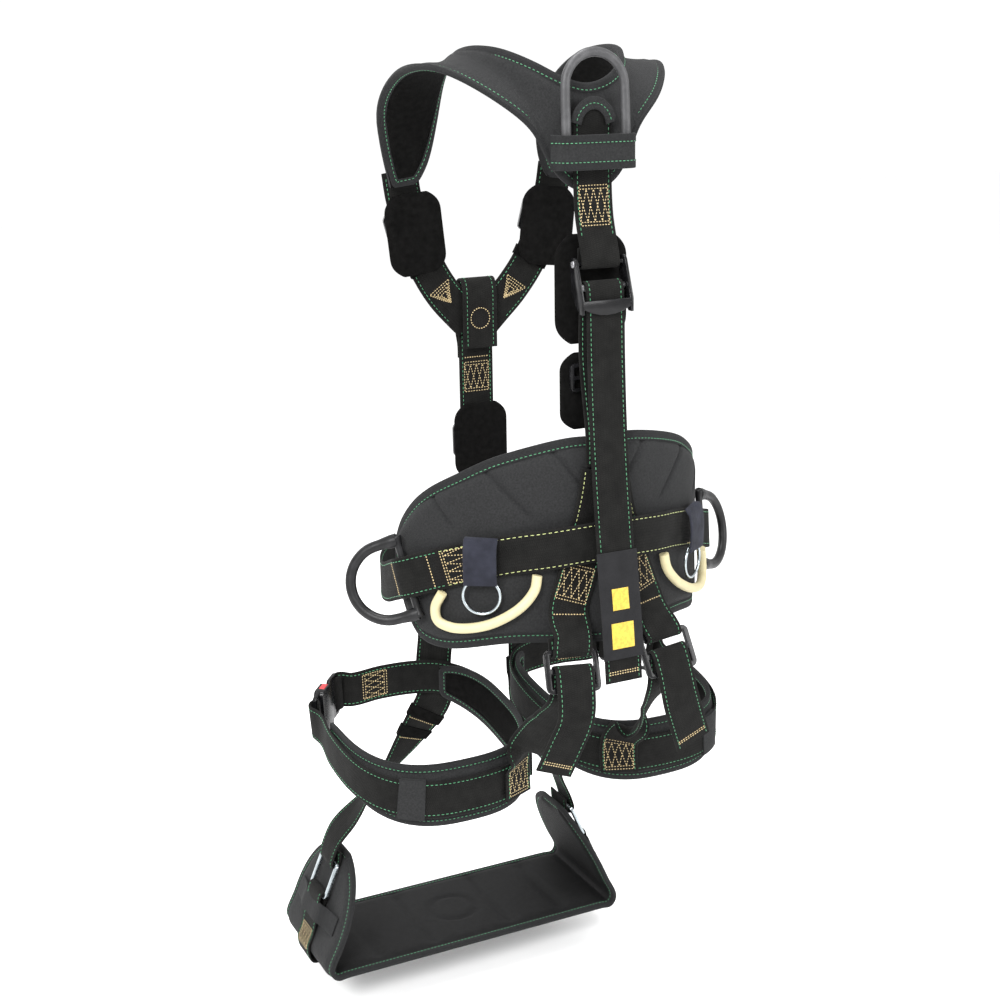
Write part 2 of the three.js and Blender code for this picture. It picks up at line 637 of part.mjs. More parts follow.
function riserGeometry(side) {
  const high = side > 0 ? 0 : 3.6;        // the right one crosses over the left one
  const flip = (point) => V(side * point.x, point.y, point.z);
  const down = SLIDE.up.clone().negate();
  const onPad = [                          // angle, height, offset, share of the crossing's height
    [1.5, -429, 2.8, 1], [3, -460, 2.9, 1], [6.5, -505, 3.2, 1], [10.5, -545, 3.4, 0.9],
    [13.8, -578, 5.6, 0.3],
  ];
  const stations = [
    ...onPad.map(([angle, z, offset, share]) =>
      [waist(angle, z, offset + flare(angle, z) + high * share), waistFacing(angle)]),
    [V(52.5, 169, -602), slideFace], ...wrap(slideBar(1), down, slideFace, 5.4, 15),
  ];
  return strap(stations.map(([point, face]) => [flip(point), flip(face)]));
}
add('rear_riser_left', riserGeometry(1), webbing);
add('rear_riser_right', riserGeometry(-1), webbing);

// One webbing: sewn on the leg loop, up round the slide's middle bar, then a free tail.
const REAR_ANGLE = 116;
function rearStrapGeometry() {
  const inner = slideFace.clone().negate();
  const face = legFacing(REAR_ANGLE);
  return strap([
    [legPoint(REAR_ANGLE, 13.4, -20), face.clone().negate()],
    [legPoint(REAR_ANGLE, 13.4, 20), face.clone().negate()],
    [V(71, 96, -752), V(-0.1, -0.75, -0.6)], [V(65, 142, -702), V(0, -0.8, -0.6)],
    [V(61, 170, -668), inner],
    ...wrap(SLIDE.center, SLIDE.up, inner, 5.4, 0).slice(0, 5),
    [slideBar(-1).addScaledVector(slideFace, 5), slideFace], [V(65, 197, -682), BACK],
    [V(76, 193, -712), BACK], [V(88, 188, -742), BACK],
  ]);
}
addPair('rear_leg_strap', rearStrapGeometry(), webbing);

// ---- leg loops ----------------------------------------------------------
const LEG_BUCKLE_ANGLE = -47;
function legPadGeometry() {
  const height = profile([[-12, 40], [10, 60], [60, 74], [120, 76], [180, 66], [215, 54], [238, 38]]);
  const face = (offset) => (u, v) => {
    const angle = THREE.MathUtils.lerp(-8, 234, u);
    return legPoint(angle, offset, (v - 0.5) * height(angle));
  };
  return slab(face(6), face(-6), 26, 2);
}
addPair('leg_pad', legPadGeometry(), padFabric);

const legBuckleCenter = legPoint(LEG_BUCKLE_ANGLE, 6);
const legBuckleNormal = legFacing(LEG_BUCKLE_ANGLE);
const legBuckleAcross =
  V(-legBuckleNormal.y, legBuckleNormal.x, -LEG.tilt * legBuckleNormal.x).normalize();
function legStrapGeometry() {
  const offset = profile([
    [-40, 5], [-26, 7.4], [-14, 8.8], [10, 8.8], [225, 8.8], [240, 8.8], [256, 6], [300, 5],
  ]);
  const middle = [];
  for (let angle = -18; angle <= 286; angle += 16) {
    middle.push([legPoint(angle, offset(angle)), legFacing(angle)]);
  }
  return strapBetweenBars(legBuckleCenter, legBuckleAcross, legBuckleNormal, middle);
}
addPair('leg_strap', legStrapGeometry(), webbing);
addBuckle('leg_buckle', legBuckleCenter, legBuckleAcross, legBuckleNormal, true);

const RISER_ANGLE = 240;
addPair('front_riser', strap([
  [waist(161, beltZ(100) + 20, -0.8), waistFacing(161)],
  [waist(161, beltZ(100) - 22, -0.8), waistFacing(161)],
  [V(60, -161, -640), FRONT], [V(58, -185, -712), legFacing(RISER_ANGLE)],
  [legPoint(RISER_ANGLE, 12.6, 14), legFacing(RISER_ANGLE)],
  [legPoint(RISER_ANGLE, 12.6, -14), legFacing(RISER_ANGLE)],
]), webbing);

// ---- seat sling ---------------------------------------------------------
const panelDown = V(SEAT_PANEL.inward, 0, -SEAT_PANEL.rise).normalize();
const panelOut = V(SEAT_PANEL.rise, 0, SEAT_PANEL.inward).normalize();
const upperBar = V(PIVOT.x, SEAT.y, PIVOT.z);
const LINK = { width: 58, height: 52, wire: 6 };
function linkGeometry() {
  const shape = roundedRect(LINK.width, LINK.height, LINK.wire + 1.3);
  const opening = new THREE.Path();
  const x = LINK.width / 2 - LINK.wire;
  const y = LINK.height / 2 - LINK.wire;
  opening.moveTo(-x, -y);
  opening.lineTo(x, -y);
  opening.lineTo(x, y);
  opening.lineTo(-x, y);
  opening.closePath();
  shape.holes.push(opening);
  const center = upperBar.clone().addScaledVector(panelDown, (LINK.height - LINK.wire) / 2);
  return place(plate(shape, LINK.wire - 1), center, V(0, 1, 0), panelDown.clone().negate());
}
addPair('seat_link', linkGeometry(), platedSteel);

// The straps swing fore and aft from a seam just under the leg loop's lower edge.
const SEAT_SEAM = -30;
addPair('seat_strap', strap([
  [legPoint(RISER_ANGLE, 14, SEAT_SEAM), legFacing(RISER_ANGLE)],
  [V(82, -207, -845), V(0.1, -1, 0)], [V(112, -232, -905), V(0.7, -0.9, 0)],
  [V(146, -262, -965), V(1, -0.3, 0)],
  [V(172, -281, -1006), V(1, 0, 0.2)],
  ...wrap(upperBar, V(0.15, -0.02, -1).normalize(), V(1, 0, 0.15).normalize(), 5.6, 18),
]), webbing);

// Sling profile in XZ from the left tip to the right tip, at the pad's mid-thickness.
const MID = SEAT.bottom + SEAT.thickness / 2;
const panelAt = (t) =>
  V(SEAT.halfLength - SEAT_PANEL.inward * t, 0, SEAT.bottom + SEAT_PANEL.rise * t);
const halfSling = [
  panelAt(1), panelAt(0.66), panelAt(0.33), panelAt(0.12),
  V(206, 0, MID - 0.4), V(190, 0, MID), V(100, 0, MID),
];
const toRight = (point) => V(-point.x, point.y, point.z);
const slingPath = spline([...halfSling, V(0, 0, MID), ...halfSling.slice().reverse().map(toRight)]);
const sling = (u) => {
  const tangent = slingPath.getTangent(u);
  return { point: slingPath.getPoint(u), outward: V(-tangent.z, 0, tangent.x).negate() };
};
function slingHalfDepth(point) {
  const height = (point.z - SEAT.bottom) / SEAT_PANEL.rise;
  if (height < 0.4) return SEAT.halfDepth;
  return SEAT.halfDepth * Math.sqrt(Math.max(0.05, 1 - ((height - 0.4) / 0.62) ** 2));
}
function seatGeometry() {
  const face = (sign) => (u, v) => {
    const { point, outward } = sling(u);
    const half = slingHalfDepth(point);
    point.addScaledVector(outward, sign * SEAT.thickness / 2);
    point.y = SEAT.y + half * (2 * v - 1);
    return point;
  };
  return slab(face(1), face(-1), 44, 1);
}
add('seat_pad', seatGeometry(), padFabric);

function seatWebGeometry() {
  const lowerBar = upperBar.clone().addScaledVector(panelDown, LINK.height - LINK.wire);
  const onPanel = (t, gap) => {
    const point = panelAt(t).addScaledVector(panelOut, SEAT.thickness / 2 + gap);
    return V(point.x, SEAT.y, point.z);
  };
  const under = SEAT.bottom - PLY / 2 - GAP;
  const half = [
    ...wrap(lowerBar, panelDown.clone().negate(), panelOut, 5.2, 16).reverse(),
    [onPanel(0.36, 6.5), panelOut], [onPanel(0.22, 3.4), panelOut], [onPanel(0.1, 2.6), panelOut],
    [V(216, SEAT.y, under - 1), V(0.5, 0, -1)], [V(196, SEAT.y, under - 0.6), V(0, 0, -1)],
    [V(150, SEAT.y, under), V(0, 0, -1)],
  ];
  const flip = ([point, face]) => [toRight(point), toRight(face)];
  return strap([...half, [V(0, SEAT.y, under), V(0, 0, -1)], ...half.slice().reverse().map(flip)]);
}
add('seat_web', seatWebGeometry(), webbing);

export default object;
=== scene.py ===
"""Looks for a full-body climbing harness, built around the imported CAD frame.

Shapes are worked out in millimetres and written to meshes in metres. The wearer faces -Y and
the wearer's left is +X. Straps and pads follow the same curves as the CAD solids they replace.
"""
import math

import bmesh
import bpy
from mathutils import Matrix, Vector


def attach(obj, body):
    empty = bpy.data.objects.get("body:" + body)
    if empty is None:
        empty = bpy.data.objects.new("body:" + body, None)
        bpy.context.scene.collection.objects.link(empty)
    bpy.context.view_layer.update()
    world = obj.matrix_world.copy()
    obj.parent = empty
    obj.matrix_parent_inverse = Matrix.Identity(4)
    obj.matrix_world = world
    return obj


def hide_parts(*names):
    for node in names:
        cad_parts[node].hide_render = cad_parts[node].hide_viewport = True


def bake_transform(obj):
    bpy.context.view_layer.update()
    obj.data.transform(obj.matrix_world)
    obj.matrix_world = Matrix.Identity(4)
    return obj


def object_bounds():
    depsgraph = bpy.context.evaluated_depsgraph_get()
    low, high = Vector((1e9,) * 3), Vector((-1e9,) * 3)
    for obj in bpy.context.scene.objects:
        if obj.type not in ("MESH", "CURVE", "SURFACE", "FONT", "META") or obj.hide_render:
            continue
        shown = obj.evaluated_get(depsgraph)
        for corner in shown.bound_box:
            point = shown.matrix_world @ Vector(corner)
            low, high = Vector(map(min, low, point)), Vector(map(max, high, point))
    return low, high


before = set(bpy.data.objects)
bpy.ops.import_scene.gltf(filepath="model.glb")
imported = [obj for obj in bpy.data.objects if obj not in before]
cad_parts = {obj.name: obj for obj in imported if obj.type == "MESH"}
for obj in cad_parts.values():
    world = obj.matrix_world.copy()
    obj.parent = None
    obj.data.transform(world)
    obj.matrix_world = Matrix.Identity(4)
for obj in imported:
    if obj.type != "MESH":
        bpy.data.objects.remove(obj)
cad_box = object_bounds()

MM = 0.001
UV_SCALE = 0.01                 # one UV unit is 100 mm
WEB, PLY = 45.0, 2.4            # webbing width and thickness
STRIP_STEP = 3.0                # from one section of a strap to the next
SPAN_SAMPLES = 7                # samples of a strap's length in each span of its curve
STITCH_FILL = 0.72              # share of the pitch that a stitch covers
RIM_SMOOTHING = 6               # rounds of smoothing on a pad's outline
BINDING_PROUD = 0.7             # how far the binding stands over the pad's edge
SEAT_SWING_ROOM = 0.05          # m under the seat, whose front edge dips 39 mm as it swings
BACK, FRONT, UP = Vector((0, 1, 0)), Vector((0, -1, 0)), Vector((0, 0, 1))
ROOT = "harness"


def V(x, y, z):
    return Vector((x, y, z))


def flipped(vector):
    return V(-vector.x, vector.y, vector.z)


def to_side(side):
    """Mirrors a vector for the wearer's right, and leaves it alone for the left."""
    return (lambda vector: vector) if side > 0 else flipped


def lerp(a, b, t):
    return a + (b - a) * t


# ---- materials ------------------------------------------------------------
class Shader:
    """A small helper that wires one Principled material."""

    def __init__(self, name, **sockets):
        self.material = bpy.data.materials.new(name)
        self.material.use_nodes = True
        self.tree = self.material.node_tree
        self.main = self.tree.nodes["Principled BSDF"]
        for socket, value in sockets.items():
            self.main.inputs[socket.replace("_", " ")].default_value = value

    def node(self, kind, **values):
        made = self.tree.nodes.new(kind)
        for key, value in values.items():
            if hasattr(made, key):
                setattr(made, key, value)
            else:
                made.inputs[key.replace("_", " ")].default_value = value
        return made

    def link(self, a, b):
        self.tree.links.new(a, b)

    def coordinates(self, kind):
        return self.node("ShaderNodeTexCoord").outputs[kind]

    def noise(self, scale, detail=4.0):
        made = self.node("ShaderNodeTexNoise", Scale=scale, Detail=detail)
        self.link(self.coordinates("Object"), made.inputs["Vector"])
        return made.outputs["Fac"]

    def ramp(self, factor, *stops):
        made = self.node("ShaderNodeValToRGB")
        elements = made.color_ramp.elements
        while len(elements) < len(stops):
            elements.new(0.5)
        for element, (place, colour) in zip(elements, stops):
            element.position = place
            element.color = (*colour, 1)
        self.link(factor, made.inputs["Fac"])
        return made.outputs["Color"]

    def bump(self, height, strength, distance, before=None):
        made = self.node("ShaderNodeBump", Strength=strength, Distance=distance)
        self.link(height, made.inputs["Height"])
        if before is not None:
            self.link(before, made.inputs["Normal"])
        return made.outputs["Normal"]

    def weave(self, pick, row):
        """Interlaced yarns on the UVs; pick and row are the yarn spacings in mm."""
        bricks = self.node(
            "ShaderNodeTexBrick", Scale=1 / UV_SCALE, Mortar_Size=0.16 * row,
            Mortar_Smooth=1.0, Brick_Width=pick, Row_Height=row,
        )
        self.link(self.coordinates("UV"), bricks.inputs["Vector"])
        flip = self.node("ShaderNodeMath", operation="SUBTRACT")
        flip.inputs[0].default_value = 1.0
        self.link(bricks.outputs["Fac"], flip.inputs[1])
        return flip.outputs[0], self.bump(flip.outputs[0], 0.6, 0.0004)


def tone(colour, gain):
    return tuple(min(1.0, c * gain) for c in colour)


def woven(name, colour, pick, row, sheen, mottle=70.0, spread=0.3):
    """Woven cloth: interlaced yarns, darker between them, over a mottled dye."""
    shader = Shader(name, Roughness=0.85, Sheen_Weight=sheen, Sheen_Roughness=0.5)
    shader.main.inputs["Specular IOR Level"].default_value = 0.1
    height, normal = shader.weave(pick, row)
    base = shader.ramp(
        shader.noise(mottle, 8.0), (0.3, tone(colour, 1 - spread)), (0.7, tone(colour, 1 + spread)))
    dark = shader.node("ShaderNodeMix", data_type="RGBA", blend_type="MULTIPLY")
    dark.inputs["Factor"].default_value = 0.75
    shader.link(base, dark.inputs["A"])
    shader.link(shader.ramp(height, (0.0, (0.45,) * 3), (1.0, (1.0,) * 3)), dark.inputs["B"])
    shader.link(dark.outputs["Result"], shader.main.inputs["Base Color"])
    folds = shader.bump(shader.noise(24.0, 3.0), 0.4, 0.006, normal)
    shader.link(folds, shader.main.inputs["Normal"])
    return shader.material


def knitted(name, colour, shine=0.03):
    """Brushed lining: fine fibres with no visible yarn rows."""
    shader = Shader(name, Roughness=0.95 - shine)
    shader.main.inputs["Specular IOR Level"].default_value = shine
    fine = shader.noise(1500.0, 3.0)
    tint = shader.ramp(shader.noise(160.0, 8.0), (0.3, tone(colour, 0.7)), (0.7, tone(colour, 1.4)))
    shader.link(tint, shader.main.inputs["Base Color"])
    shader.link(shader.bump(fine, 0.5, 0.0006), shader.main.inputs["Normal"])
    return shader.material


def coated(name, colour, roughness, metallic, grain, wear, shine=0.5):
    """Painted, blackened or plated metal with a fine cast grain and rubbed patches."""
    shader = Shader(name, Metallic=metallic)
    shader.main.inputs["Specular IOR Level"].default_value = shine
    tint = shader.ramp(shader.noise(90.0, 6.0), (0.45, colour), (0.72, tone(colour, wear)))
    shader.link(tint, shader.main.inputs["Base Color"])
    rough = shader.node("ShaderNodeMapRange", To_Min=roughness - 0.08, To_Max=roughness + 0.12)
    shader.link(shader.noise(260.0, 5.0), rough.inputs["Value"])
    shader.link(rough.outputs["Result"], shader.main.inputs["Roughness"])
    shader.link(shader.bump(shader.noise(1400.0, 2.0), grain, 0.0003), shader.main.inputs["Normal"])
    return shader.material


def twisted(name, colour):
    """Sewing thread or raised print."""
    shader = Shader(name, Roughness=0.6, Sheen_Weight=0.2)
    tint = shader.ramp(shader.noise(300.0), (0.35, tone(colour, 0.75)), (0.65, tone(colour, 1.15)))
    shader.link(tint, shader.main.inputs["Base Color"])
    shader.link(shader.bump(shader.noise(2600.0, 1.0), 0.4, 0.0003), shader.main.inputs["Normal"])
    return shader.material


WEBBING = woven("black webbing", (0.0074, 0.0073, 0.0068), 2.2, 3.4, 0.02)
CHARCOAL = woven("charcoal duck", (0.0205, 0.0208, 0.0214), 1.3, 0.9, 0.03, 520.0, 0.25)
BINDING = woven("binding tape", (0.0165, 0.0168, 0.0174), 1.1, 1.1, 0.03, 500.0, 0.2)
NAVY = woven("navy webbing", (0.019, 0.0202, 0.029), 3.0, 1.1, 0.05)
LINING = knitted("brushed lining", (0.004, 0.0039, 0.0038))
SEAT_TOP = knitted("seat lining", (0.0035, 0.0035, 0.0037), 0.2)
TAG = woven("tag cloth", (0.016, 0.016, 0.0175), 0.6, 0.5, 0.03, spread=0.15)
GREEN = twisted("green thread", (0.035, 0.2, 0.085))
CREAM = twisted("cream thread", (0.5, 0.38, 0.19))
PALE = twisted("pale green thread", (0.4, 0.44, 0.17))
YELLOW = twisted("yellow print", (0.52, 0.36, 0.03))
TUBE = coated("cream tube", (0.48, 0.425, 0.25), 0.55, 0.0, 0.15, 0.9)
FORGED = coated("forged ring coating", (0.05, 0.05, 0.052), 0.46, 0.3, 0.45, 1.5, 0.35)
DARK_RING = coated("dark ring coating", (0.0075, 0.0075, 0.008), 0.36, 0.0, 0.35, 2.0, 0.22)
BLACK = coated("black buckle coating", (0.0045, 0.0045, 0.005), 0.2, 0.0, 0.15, 2.4, 0.25)
STEEL = coated("bare steel", (0.26, 0.26, 0.27), 0.32, 1.0, 0.1, 1.2)
PLATED = coated("bright plating", (0.36, 0.4, 0.42), 0.26, 1.0, 0.1, 1.25)
RED = coated("red button", (0.42, 0.03, 0.035), 0.4, 0.0, 0.1, 1.2)


# ---- curves ---------------------------------------------------------------
class Spline:
    """Centripetal Catmull-Rom curve; u runs from 0 to 1, evenly over its spans."""

    def __init__(self, points):
        pts = [Vector(p) for p in points]
        self.spans = []
        for i in range(len(pts) - 1):
            p1, p2 = pts[i], pts[i + 1]
            p0 = pts[i - 1] if i else 2 * p1 - p2
            p3 = pts[i + 2] if i + 2 < len(pts) else 2 * p2 - p1
            d1 = math.sqrt((p2 - p1).length)
            d1 = d1 if d1 > 1e-4 else 1.0
            d0, d2 = (d if d > 1e-4 else d1
                      for d in (math.sqrt((p1 - p0).length), math.sqrt((p3 - p2).length)))
            t1 = ((p1 - p0) / d0 - (p2 - p0) / (d0 + d1) + (p2 - p1) / d1) * d1
            t2 = ((p2 - p1) / d1 - (p3 - p1) / (d1 + d2) + (p3 - p2) / d2) * d1
            self.spans.append((p1, t1, 3 * (p2 - p1) - 2 * t1 - t2, 2 * (p1 - p2) + t1 + t2))

    def _at(self, u):
        at = min(max(u, 0.0), 1.0) * len(self.spans)
        i = min(int(at), len(self.spans) - 1)
        return self.spans[i], at - i

    def point(self, u):
        (a, b, c, d), t = self._at(u)
        return a + b * t + c * t * t + d * t ** 3

    def tangent(self, u):
        (a, b, c, d), t = self._at(u)
        return (b + 2 * c * t + 3 * d * t * t).normalized()


def profile(pairs):
    """A value read off (position, value) pairs along a smooth curve."""
    curve = Spline([V(at, value, 0) for at, value in pairs])

    def read(at):
        low, high = 0.0, 1.0
        for _ in range(24):
            middle = (low + high) / 2
            if curve.point(middle).x < at:
                low = middle
            else:
                high = middle
        return curve.point(low).y
    return read


def wrap(bar, along, face, radius, back):
    """Stations for webbing that arrives along `along`, rounds a bar and doubles back."""
    stations = []
    for degrees in (90, 40, 0, -40, -90):
        turn = math.radians(degrees)
        out = along * math.cos(turn) + face * math.sin(turn)
        stations.append((bar + out * radius, out))
    stations.append((bar - face * (radius - 0.5) - along * back, -face))
    return stations


# ---- mesh building --------------------------------------------------------
class Build:
    """Collects closed shells in millimetres, with one material per shell."""

    def __init__(self, name):
        self.name = name
        self.verts, self.faces, self.uvs, self.slots = [], [], [], []
        self.materials = []

    def slot(self, material):
        if material not in self.materials:
            self.materials.append(material)
        return self.materials.index(material)

    def face(self, corners, uvs, slot):
        self.faces.append(corners)
        self.uvs.append(uvs)
        self.slots.append(slot)

    def sweep(self, rings, material, loop=False):
        """Rings are lists of (point, uv) that go round the section, all the same length."""
        slot, start, size = self.slot(material), len(self.verts), len(rings[0])
        for ring in rings:
            self.verts += [point for point, _ in ring]
        spans = len(rings) if loop else len(rings) - 1
        for i in range(spans):
            k = (i + 1) % len(rings)
            for j in range(size):
                n = (j + 1) % size
                corners = [start + i * size + j, start + i * size + n,
                           start + k * size + n, start + k * size + j]
                uvs = [rings[i][j][1], rings[i][n][1], rings[k][n][1], rings[k][j][1]]
                self.face(corners, uvs, slot)
        if not loop:
            last = len(rings) - 1
            self.face([start + j for j in range(size)], [uv for _, uv in rings[0]], slot)
            self.face([start + last * size + j for j in reversed(range(size))],
                      [uv for _, uv in reversed(rings[last])], slot)

    def stitches(self, points, normals, material, pitch, radius=0.42):
        """A row of raised stitches along a path, each a small four-sided grain."""
        slot = self.slot(material)
        lengths = [0.0]
        for a, b in zip(points, points[1:]):
            lengths.append(lengths[-1] + (b - a).length)
        count = max(1, round(lengths[-1] / pitch))
        step = lengths[-1] / count

        def at(s):
            i = bisect(lengths, s)
            t = (s - lengths[i]) / max(1e-6, lengths[i + 1] - lengths[i])
            return points[i].lerp(points[i + 1], t), normals[i].lerp(normals[i + 1], t)
        for k in range(count):
            a, n = at((k + (1 - STITCH_FILL) / 2) * step)
            b, _ = at((k + (1 + STITCH_FILL) / 2) * step)
            along = b - a
            if along.length < 0.2:
                continue
            n = n.normalized()
            side = along.cross(n).normalized() * radius
            high, start = n * radius, len(self.verts)
            rings = [a - high * 0.9]
            for share in (0.22, 0.78):
                c = a + along * share
                rings += [c + high, c + side, c - high, c - side]
            self.verts += [*rings, b - high * 0.9]
            uv = (0.0, 0.0)
            for j in range(4):
                n1 = (j + 1) % 4
                p, q, r, s = start + 1 + j, start + 1 + n1, start + 5 + j, start + 5 + n1
                self.face([start, p, q], [uv] * 3, slot)
                self.face([p, r, s, q], [uv] * 4, slot)
                self.face([start + 9, s, r], [uv] * 3, slot)

    def finish(self, body, *nodes, slot, smooth=50.0):
        mesh = bpy.data.meshes.new(self.name)
        mesh.from_pydata([v * MM for v in self.verts], [], self.faces)
        layer = mesh.uv_layers.new(name="length")
        for polygon, uvs, index in zip(mesh.polygons, self.uvs, self.slots):
            polygon.material_index = index
            for loop_index, uv in zip(polygon.loop_indices, uvs):
                layer.data[loop_index].uv = uv
        for material in self.materials:
            mesh.materials.append(material)
        work = bmesh.new()
        work.from_mesh(mesh)
        bmesh.ops.recalc_face_normals(work, faces=work.faces)
        work.to_mesh(mesh)
        work.free()
        return placed(self.name, mesh, body, nodes, smooth)


def bisect(lengths, s):
    low, high = 0, len(lengths) - 2
    while low < high:
        middle = (low + high + 1) // 2
        if lengths[middle] <= s:
            low = middle
        else:
            high = middle - 1
    return low


def placed(name, mesh, body, nodes, smooth):
    piece = bpy.data.objects.new(name, mesh)
    bpy.context.scene.collection.objects.link(piece)
    mesh.shade_smooth()
    mesh.set_sharp_from_angle(angle=math.radians(smooth))
    if body:
        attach(piece, body)
    if nodes:
        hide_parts(*nodes)
    return piece


# ---- webbing --------------------------------------------------------------
class Strap:
    """Webbing along (point, outer face) stations, read by length in mm and side in mm."""

    def __init__(self, stations, width=WEB, ply=PLY):
        self.path = Spline([p for p, _ in stations])
        self.facing = Spline([f for _, f in stations])
        self.width, self.ply = width, ply
        count = (len(stations) - 1) * SPAN_SAMPLES
        self.us = [i / count for i in range(count + 1)]
        self.lengths = [0.0]
        points = [self.path.point(u) for u in self.us]
        for a, b in zip(points, points[1:]):
            self.lengths.append(self.lengths[-1] + (b - a).length)
        self.length = self.lengths[-1]

    def frame(self, s):
        i = bisect(self.lengths, s)
        span = max(1e-6, self.lengths[i + 1] - self.lengths[i])
        u = lerp(self.us[i], self.us[i + 1], (s - self.lengths[i]) / span)
        tangent = self.path.tangent(u)
        face = self.facing.point(u).normalized()
        face = (face - tangent * face.dot(tangent)).normalized()
        return self.path.point(u), face, tangent.cross(face)

    def on(self, s, a, lift=0.0, under=False):
        """The point and normal at length s and side offset a, on the outer or inner face."""
        point, face, side = self.frame(s)
        if under:
            face = -face
        return point + side * a + face * (self.ply / 2 + lift), face

    def strip(self, build, material, s0=0.0, s1=None, sides=None, depths=None, round_=1.0):
        """A closed run of the strap's section between two lengths."""
        s1 = self.length if s1 is None else s1
        a0, a1 = sides or (-self.width / 2, self.width / 2)
        b0, b1 = depths or (-self.ply / 2, self.ply / 2)
        section = ribbon_section(a0, a1, b0, b1, min(round_, (b1 - b0) * 0.45))
        count = max(2, math.ceil((s1 - s0) / STRIP_STEP))
        stops = sorted({lerp(s0, s1, i / count) for i in range(count + 1)})
        rings = []
        for s in stops:
            point, face, side = self.frame(s)
            rings.append([(point + side * a + face * b, (s * UV_SCALE, a * UV_SCALE))
                          for a, b in section])
        build.sweep(rings, material)

    def row(self, build, corners, material, pitch=5.0, under=False, radius=0.42):
        """Stitches along a polyline of (length, side) corners."""
        for (s0, a0), (s1, a1) in zip(corners, corners[1:]):
            count = max(2, math.ceil(math.hypot(s1 - s0, a1 - a0) / 2.5))
            found = [self.on(lerp(s0, s1, i / count), lerp(a0, a1, i / count), 0.12, under)
                     for i in range(count + 1)]
            build.stitches([p for p, _ in found], [n for _, n in found], material, pitch, radius)

    def edges(self, build, material, s0=2.0, s1=None, inset=4.2, under=True, pitch=5.2):
        """Tracer stitches along both edges, on both faces."""
        s1 = self.length - 2 if s1 is None else s1
        for a in (-self.width / 2 + inset, self.width / 2 - inset):
            self.row(build, [(s0, a), (s1, a)], material, pitch)
            if under:
                self.row(build, [(s0, a), (s1, a)], material, pitch, under=True)

    def box(self, build, s0, s1, half=17.0, under=False):
        """A sewn load patch: doubled end rows, sides, and two crossing zigzags."""
        teeth, thick = 4, dict(under=under, pitch=3.4, radius=0.5)
        for s in (s0, s0 + 3.5, s1 - 3.5, s1):
            self.row(build, [(s, -half), (s, half)], CREAM, **thick)
        for a in (-half, half):
            self.row(build, [(s0, a), (s1, a)], CREAM, **thick)
        for flip in (0, 1):
            zigzag = [(s0 + 4 if (i + flip) % 2 else s1 - 4, lerp(-half, half, i / teeth))
                      for i in range(teeth + 1)]
            self.row(build, zigzag, CREAM, **thick)

    def bar(self, build, s, half=18.5, under=False):
        """One row of thick stitches across the strap."""
        self.row(build, [(s, -half), (s, half)], CREAM, 3.2, under, 0.6)

    def sleeve(self, build, material, s0, s1, grow):
        """A fabric keeper round the strap."""
        w, p = self.width / 2 + grow, self.ply / 2 + grow
        self.strip(build, material, s0, s1, (-w, w), (-p, p))


def ribbon_section(a0, a1, b0, b1, r):
    """Rounded slab section, with points across the faces for a smooth bend."""
    inner = [lerp(a0 + r, a1 - r, t) for t in (0, 0.2, 0.4, 0.6, 0.8, 1)]
    top = [(a, b1) for a in inner]
    low = [(a, b0) for a in reversed(inner)]
    k = r * 0.3
    return [*top, (a1 - k, b1 - k), (a1, (b0 + b1) / 2), (a1 - k, b0 + k),
            *low, (a0 + k, b0 + k), (a0, (b0 + b1) / 2), (a0 + k, b1 - k)]


def sewn(name, strap, *places, **edges):
    """Starts a black webbing piece: the strap with tracer stitches along its edges."""
    build = Build(name)
    strap.strip(build, WEBBING)
    strap.edges(build, GREEN, *places, **edges)
    return build


def mirror_stations(stations):
    return [(flipped(p), flipped(f)) for p, f in stations]


